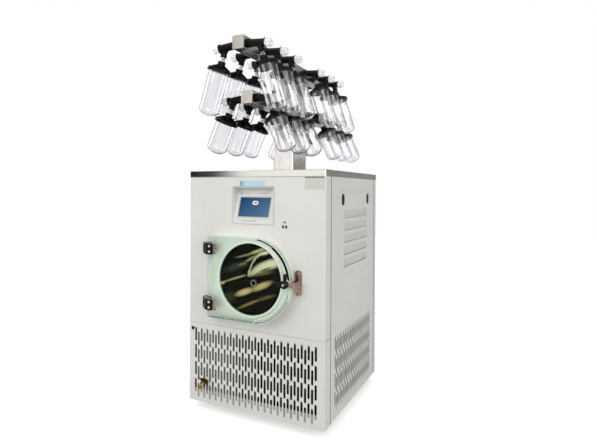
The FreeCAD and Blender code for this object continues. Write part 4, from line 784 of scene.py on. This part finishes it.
def make_door_edge():
    """Trim of the door: dark strips along the rim of its half-round side, pale lines of painted highlight at its
    steps, grey lines of painted shade at its straight side and lower rim, and its lower edge as sawn.
    """
    door_low, door_high = low("chamber_door"), high("chamber_door")
    tall = door_high.z - door_low.z
    radius = tall / 2
    round_x = door_high.x - radius
    centre = facing((round_x, door_low.y + 0.4 * MM, chamber_level), FRONT)

    def arcs(*rows):
        thick = 0.0005
        return [set_at(arc_bar(reach, wide, thick, start, end), centre) for reach, wide, start, end in rows]

    bold = arcs((radius - 0.0052, 0.0098, -4, 56), (radius - 0.0030, 0.0054, 56, 82))
    make("door_rim_strip", bold, black_abs, "door")
    steps = arcs((0.1605, 0.0040, -80, 80), (0.1800, 0.0026, -80, 80))
    make("door_step_lines", steps, white_nylon, "door")
    lines = arcs((radius - 0.0016, 0.0026, -86, -14))
    for x, wide in ((0.0008, 0.0010), (0.0085, 0.0008)):
        strip = plate(wide, tall - 0.012, 0.0003, 0.0002)
        lines.append(set_at(strip, facing((door_low.x + x, door_low.y, chamber_level), FRONT)))
    make("door_rim_lines", lines, grey_ink, "door")
    thick, inset, margin = 0.0004, 0.0006, 0.0015
    deep = door_high.y - door_low.y - 2 * margin
    across = round_x - door_low.x - 0.006
    below = ((door_low.x + round_x) / 2, (door_low.y + door_high.y) / 2, door_low.z + inset)
    inner = facing((round_x, door_high.y - margin, chamber_level), FRONT)
    sawn = [set_at(plate(across, deep, thick, 0.0002), facing(below, DOWN, FRONT)),
            set_at(arc_bar(radius - inset, thick, deep, -88, -25), inner)]
    make("door_sawn_edge", sawn, sawn_acrylic, "door")


make_door_edge()


# ------------------------------------------------------------------ sheets of painted shade behind the slots
def make_shade_sheets():
    """Sheets of painted shade: dark inside the side panels' slots, paler at the front's left-hand slots."""
    thick, corner = 0.002, 0.004
    sheets = []
    for side in (-1, 1):
        face = facing((side * (side_face - 0.0062), 0, 0.243), (side, 0, 0))
        sheets.append(set_at(plate(0.530, 0.284, thick, corner), face))
    make("side_shade_sheets", sheets, dark_shade_sheet)
    face = facing((-0.1375, front_face + 0.0066, 0.2395), FRONT)
    make("front_shade_sheet", [set_at(plate(0.315, 0.291, thick, corner), face)], grey_shade_sheet)


make_shade_sheets()


# ------------------------------------------------------------------ studio
def make_floor():
    """Pale seamless floor of matt paper. It glows a little towards the camera and throws less light back than it
    seems to.
    """
    half_width, glow_strength = 8.0, 0.55
    shape = bmesh.new()
    bmesh.ops.create_grid(shape, x_segments=1, y_segments=1, size=half_width)
    mesh = bpy.data.meshes.new("studio_floor")
    shape.to_mesh(mesh)
    shape.free()
    floor = bpy.data.objects.new("studio_floor", mesh)
    bpy.context.scene.collection.objects.link(floor)
    material = bpy.data.materials.new("white_studio_paper")
    material.use_nodes = True
    tree = material.node_tree
    shader = tree.nodes["Principled BSDF"]
    shader.inputs["Roughness"].default_value = 0.9
    shader.inputs["Specular IOR Level"].default_value = 0.0
    shader.inputs["Emission Color"].default_value = (1.0, 1.0, 1.0, 1.0)
    place = add(tree, "TexCoord").outputs["Object"]
    fibres = add(tree, "TexNoise", {"Vector": place, "Scale": 1 / (4 * MM)})
    paper = add(tree, "Mix", {0: fibres, 6: colour("#E9E9E7"), 7: colour("#EDEDEB")}, data_type="RGBA")
    path = add(tree, "LightPath")
    bounced = add(tree, "Mix", {
        0: path.outputs["Is Diffuse Ray"], 6: paper.outputs[2], 7: colour("#BDBDBB")}, data_type="RGBA")
    tree.links.new(bounced.outputs[2], shader.inputs["Base Color"])
    shown = add(tree, "Math", {
        0: path.outputs["Is Camera Ray"], 1: path.outputs["Is Transmission Ray"]}, operation="MAXIMUM")
    glow = add(tree, "Math", {0: shown, 1: glow_strength}, operation="MULTIPLY")
    tree.links.new(glow.outputs[0], shader.inputs["Emission Strength"])
    mesh.materials.append(material)


def make_lamp(name, place, aim, size, power):
    """Soft rectangular lamp that shows in no reflection and through no glass."""
    light = bpy.data.lights.new(name, "AREA")
    light.shape = "RECTANGLE"
    light.size, light.size_y = size
    light.energy = power
    lamp = bpy.data.objects.new(name, light)
    lamp.location = place
    lamp.rotation_euler = (Vector(aim) - Vector(place)).to_track_quat("-Z", "Y").to_euler()
    lamp.visible_glossy = False
    lamp.visible_transmission = False
    bpy.context.scene.collection.objects.link(lamp)


def hang_panels(tree, way, seen, panels):
    """Panels laid over a backdrop: bearing from +Y towards +X and half width in degrees, foot, top and colour.

    Foot and top are heights on a sphere of radius 1, and every edge of a panel is soft.
    """
    side_fade, end_fade = 3.0, 0.1
    bearing = add(tree, "Math", {0: way.outputs["X"], 1: way.outputs["Y"]}, operation="ARCTAN2")
    for centre, half, foot, top, tone in panels:
        off = add(tree, "Math", {0: bearing, 1: math.radians(centre)}, operation="SUBTRACT")
        away = add(tree, "Math", {0: off}, operation="ABSOLUTE")
        panel = add(tree, "MapRange", {
            "Value": away, "From Min": math.radians(half), "From Max": math.radians(half + side_fade),
            "To Min": 1.0, "To Max": 0.0})
        low_edge = add(tree, "MapRange", {
            "Value": way.outputs["Z"], "From Min": foot - end_fade, "From Max": foot + end_fade})
        high_edge = add(tree, "MapRange", {
            "Value": way.outputs["Z"], "From Min": top - end_fade, "From Max": top, "To Min": 1.0, "To Max": 0.0})
        upright = add(tree, "Math", {0: low_edge, 1: high_edge}, operation="MULTIPLY")
        share = add(tree, "Math", {0: panel, 1: upright}, operation="MULTIPLY")
        seen = add(tree, "Mix", {0: share, 6: seen, 7: tone}, data_type="RGBA").outputs[2]
    return add(tree, "Background", {"Color": seen, "Strength": 1.0})


def make_world():
    """White studio. Shiny surfaces see a dark flag at the front left and grey behind, and the inside of glass sees
    bright strips on grey.
    """
    white, strip, pale_strip = (1, 1, 1, 1), (7.0, 7.0, 7.0, 1.0), (1.6, 1.6, 1.6, 1.0)
    bright_front, grey_back, flag = (1.5, 1.5, 1.48, 1.0), (0.365, 0.355, 0.34, 1.0), (0.03, 0.03, 0.032, 1.0)
    glass_grey = (0.62, 0.62, 0.63, 1.0)
    world = bpy.data.worlds.new("white_studio")
    bpy.context.scene.world = world
    world.use_nodes = True
    tree = world.node_tree
    tree.nodes.clear()
    way = add(tree, "SeparateXYZ", {"Vector": add(tree, "TexCoord").outputs["Generated"]})
    back = add(tree, "MapRange", {"Value": way.outputs["Y"], "From Min": -0.2, "From Max": 0.3})
    around = add(tree, "Mix", {0: back, 6: bright_front, 7: grey_back}, data_type="RGBA").outputs[2]
    reflected = hang_panels(tree, way, around, (
        (-119, 25, -0.35, 0.55, flag), (118, 12, -0.35, 0.6, strip), (-100, 7, -0.35, 0.6, pale_strip)))
    inside = hang_panels(tree, way, glass_grey, (
        (118, 24, -0.35, 0.9, strip), (-164, 10, 0.1, 0.9, strip), (-100, 20, -0.35, 0.9, strip)))
    ambient = add(tree, "Background", {"Color": white, "Strength": 0.68})
    backdrop = add(tree, "Background", {"Color": white, "Strength": 1.0})
    path = add(tree, "LightPath")
    bounced = add(tree, "Math", {0: path.outputs["Glossy Depth"], 1: 0.5}, operation="GREATER_THAN")
    through = add(tree, "MixShader", {0: bounced, 1: backdrop, 2: inside})
    lit = add(tree, "MixShader", {0: path.outputs["Is Glossy Ray"], 1: ambient, 2: reflected})
    passed = add(tree, "MixShader", {0: path.outputs["Is Transmission Ray"], 1: lit, 2: through})
    both = add(tree, "MixShader", {0: path.outputs["Is Camera Ray"], 1: passed, 2: backdrop})
    add(tree, "OutputWorld", {"Surface": both})


def make_camera():
    """Camera at the front right, about 1 m up and almost level, its view shifted down to the cabinet."""
    lens = bpy.data.cameras.new("camera")
    lens.sensor_width = 36.0
    lens.lens = 27.786
    lens.shift_x = -0.00863
    lens.shift_y = -0.05218
    camera = bpy.data.objects.new("camera", lens)
    camera.location = (1.04615, -2.04739, 1.00431)
    camera.rotation_euler = (math.radians(90), math.radians(-0.315), math.radians(25.418))
    bpy.context.scene.collection.objects.link(camera)
    bpy.context.scene.camera = camera


make_camera()
make_floor()
make_world()
lamp_aim = (0, 0, 0.8)
make_lamp("key_softbox", (-0.9, -3.3, 2.6), lamp_aim, (3.0, 3.0), 50)
make_lamp("fill_softbox", (3.4, -1.4, 2.0), lamp_aim, (2.0, 2.6), 25)
bpy.context.scene.view_settings.view_transform = "Standard"
# Enough bounces to see through several flasks, one behind another.
bpy.context.scene.cycles.max_bounces = 40
bpy.context.scene.cycles.transmission_bounces = 36
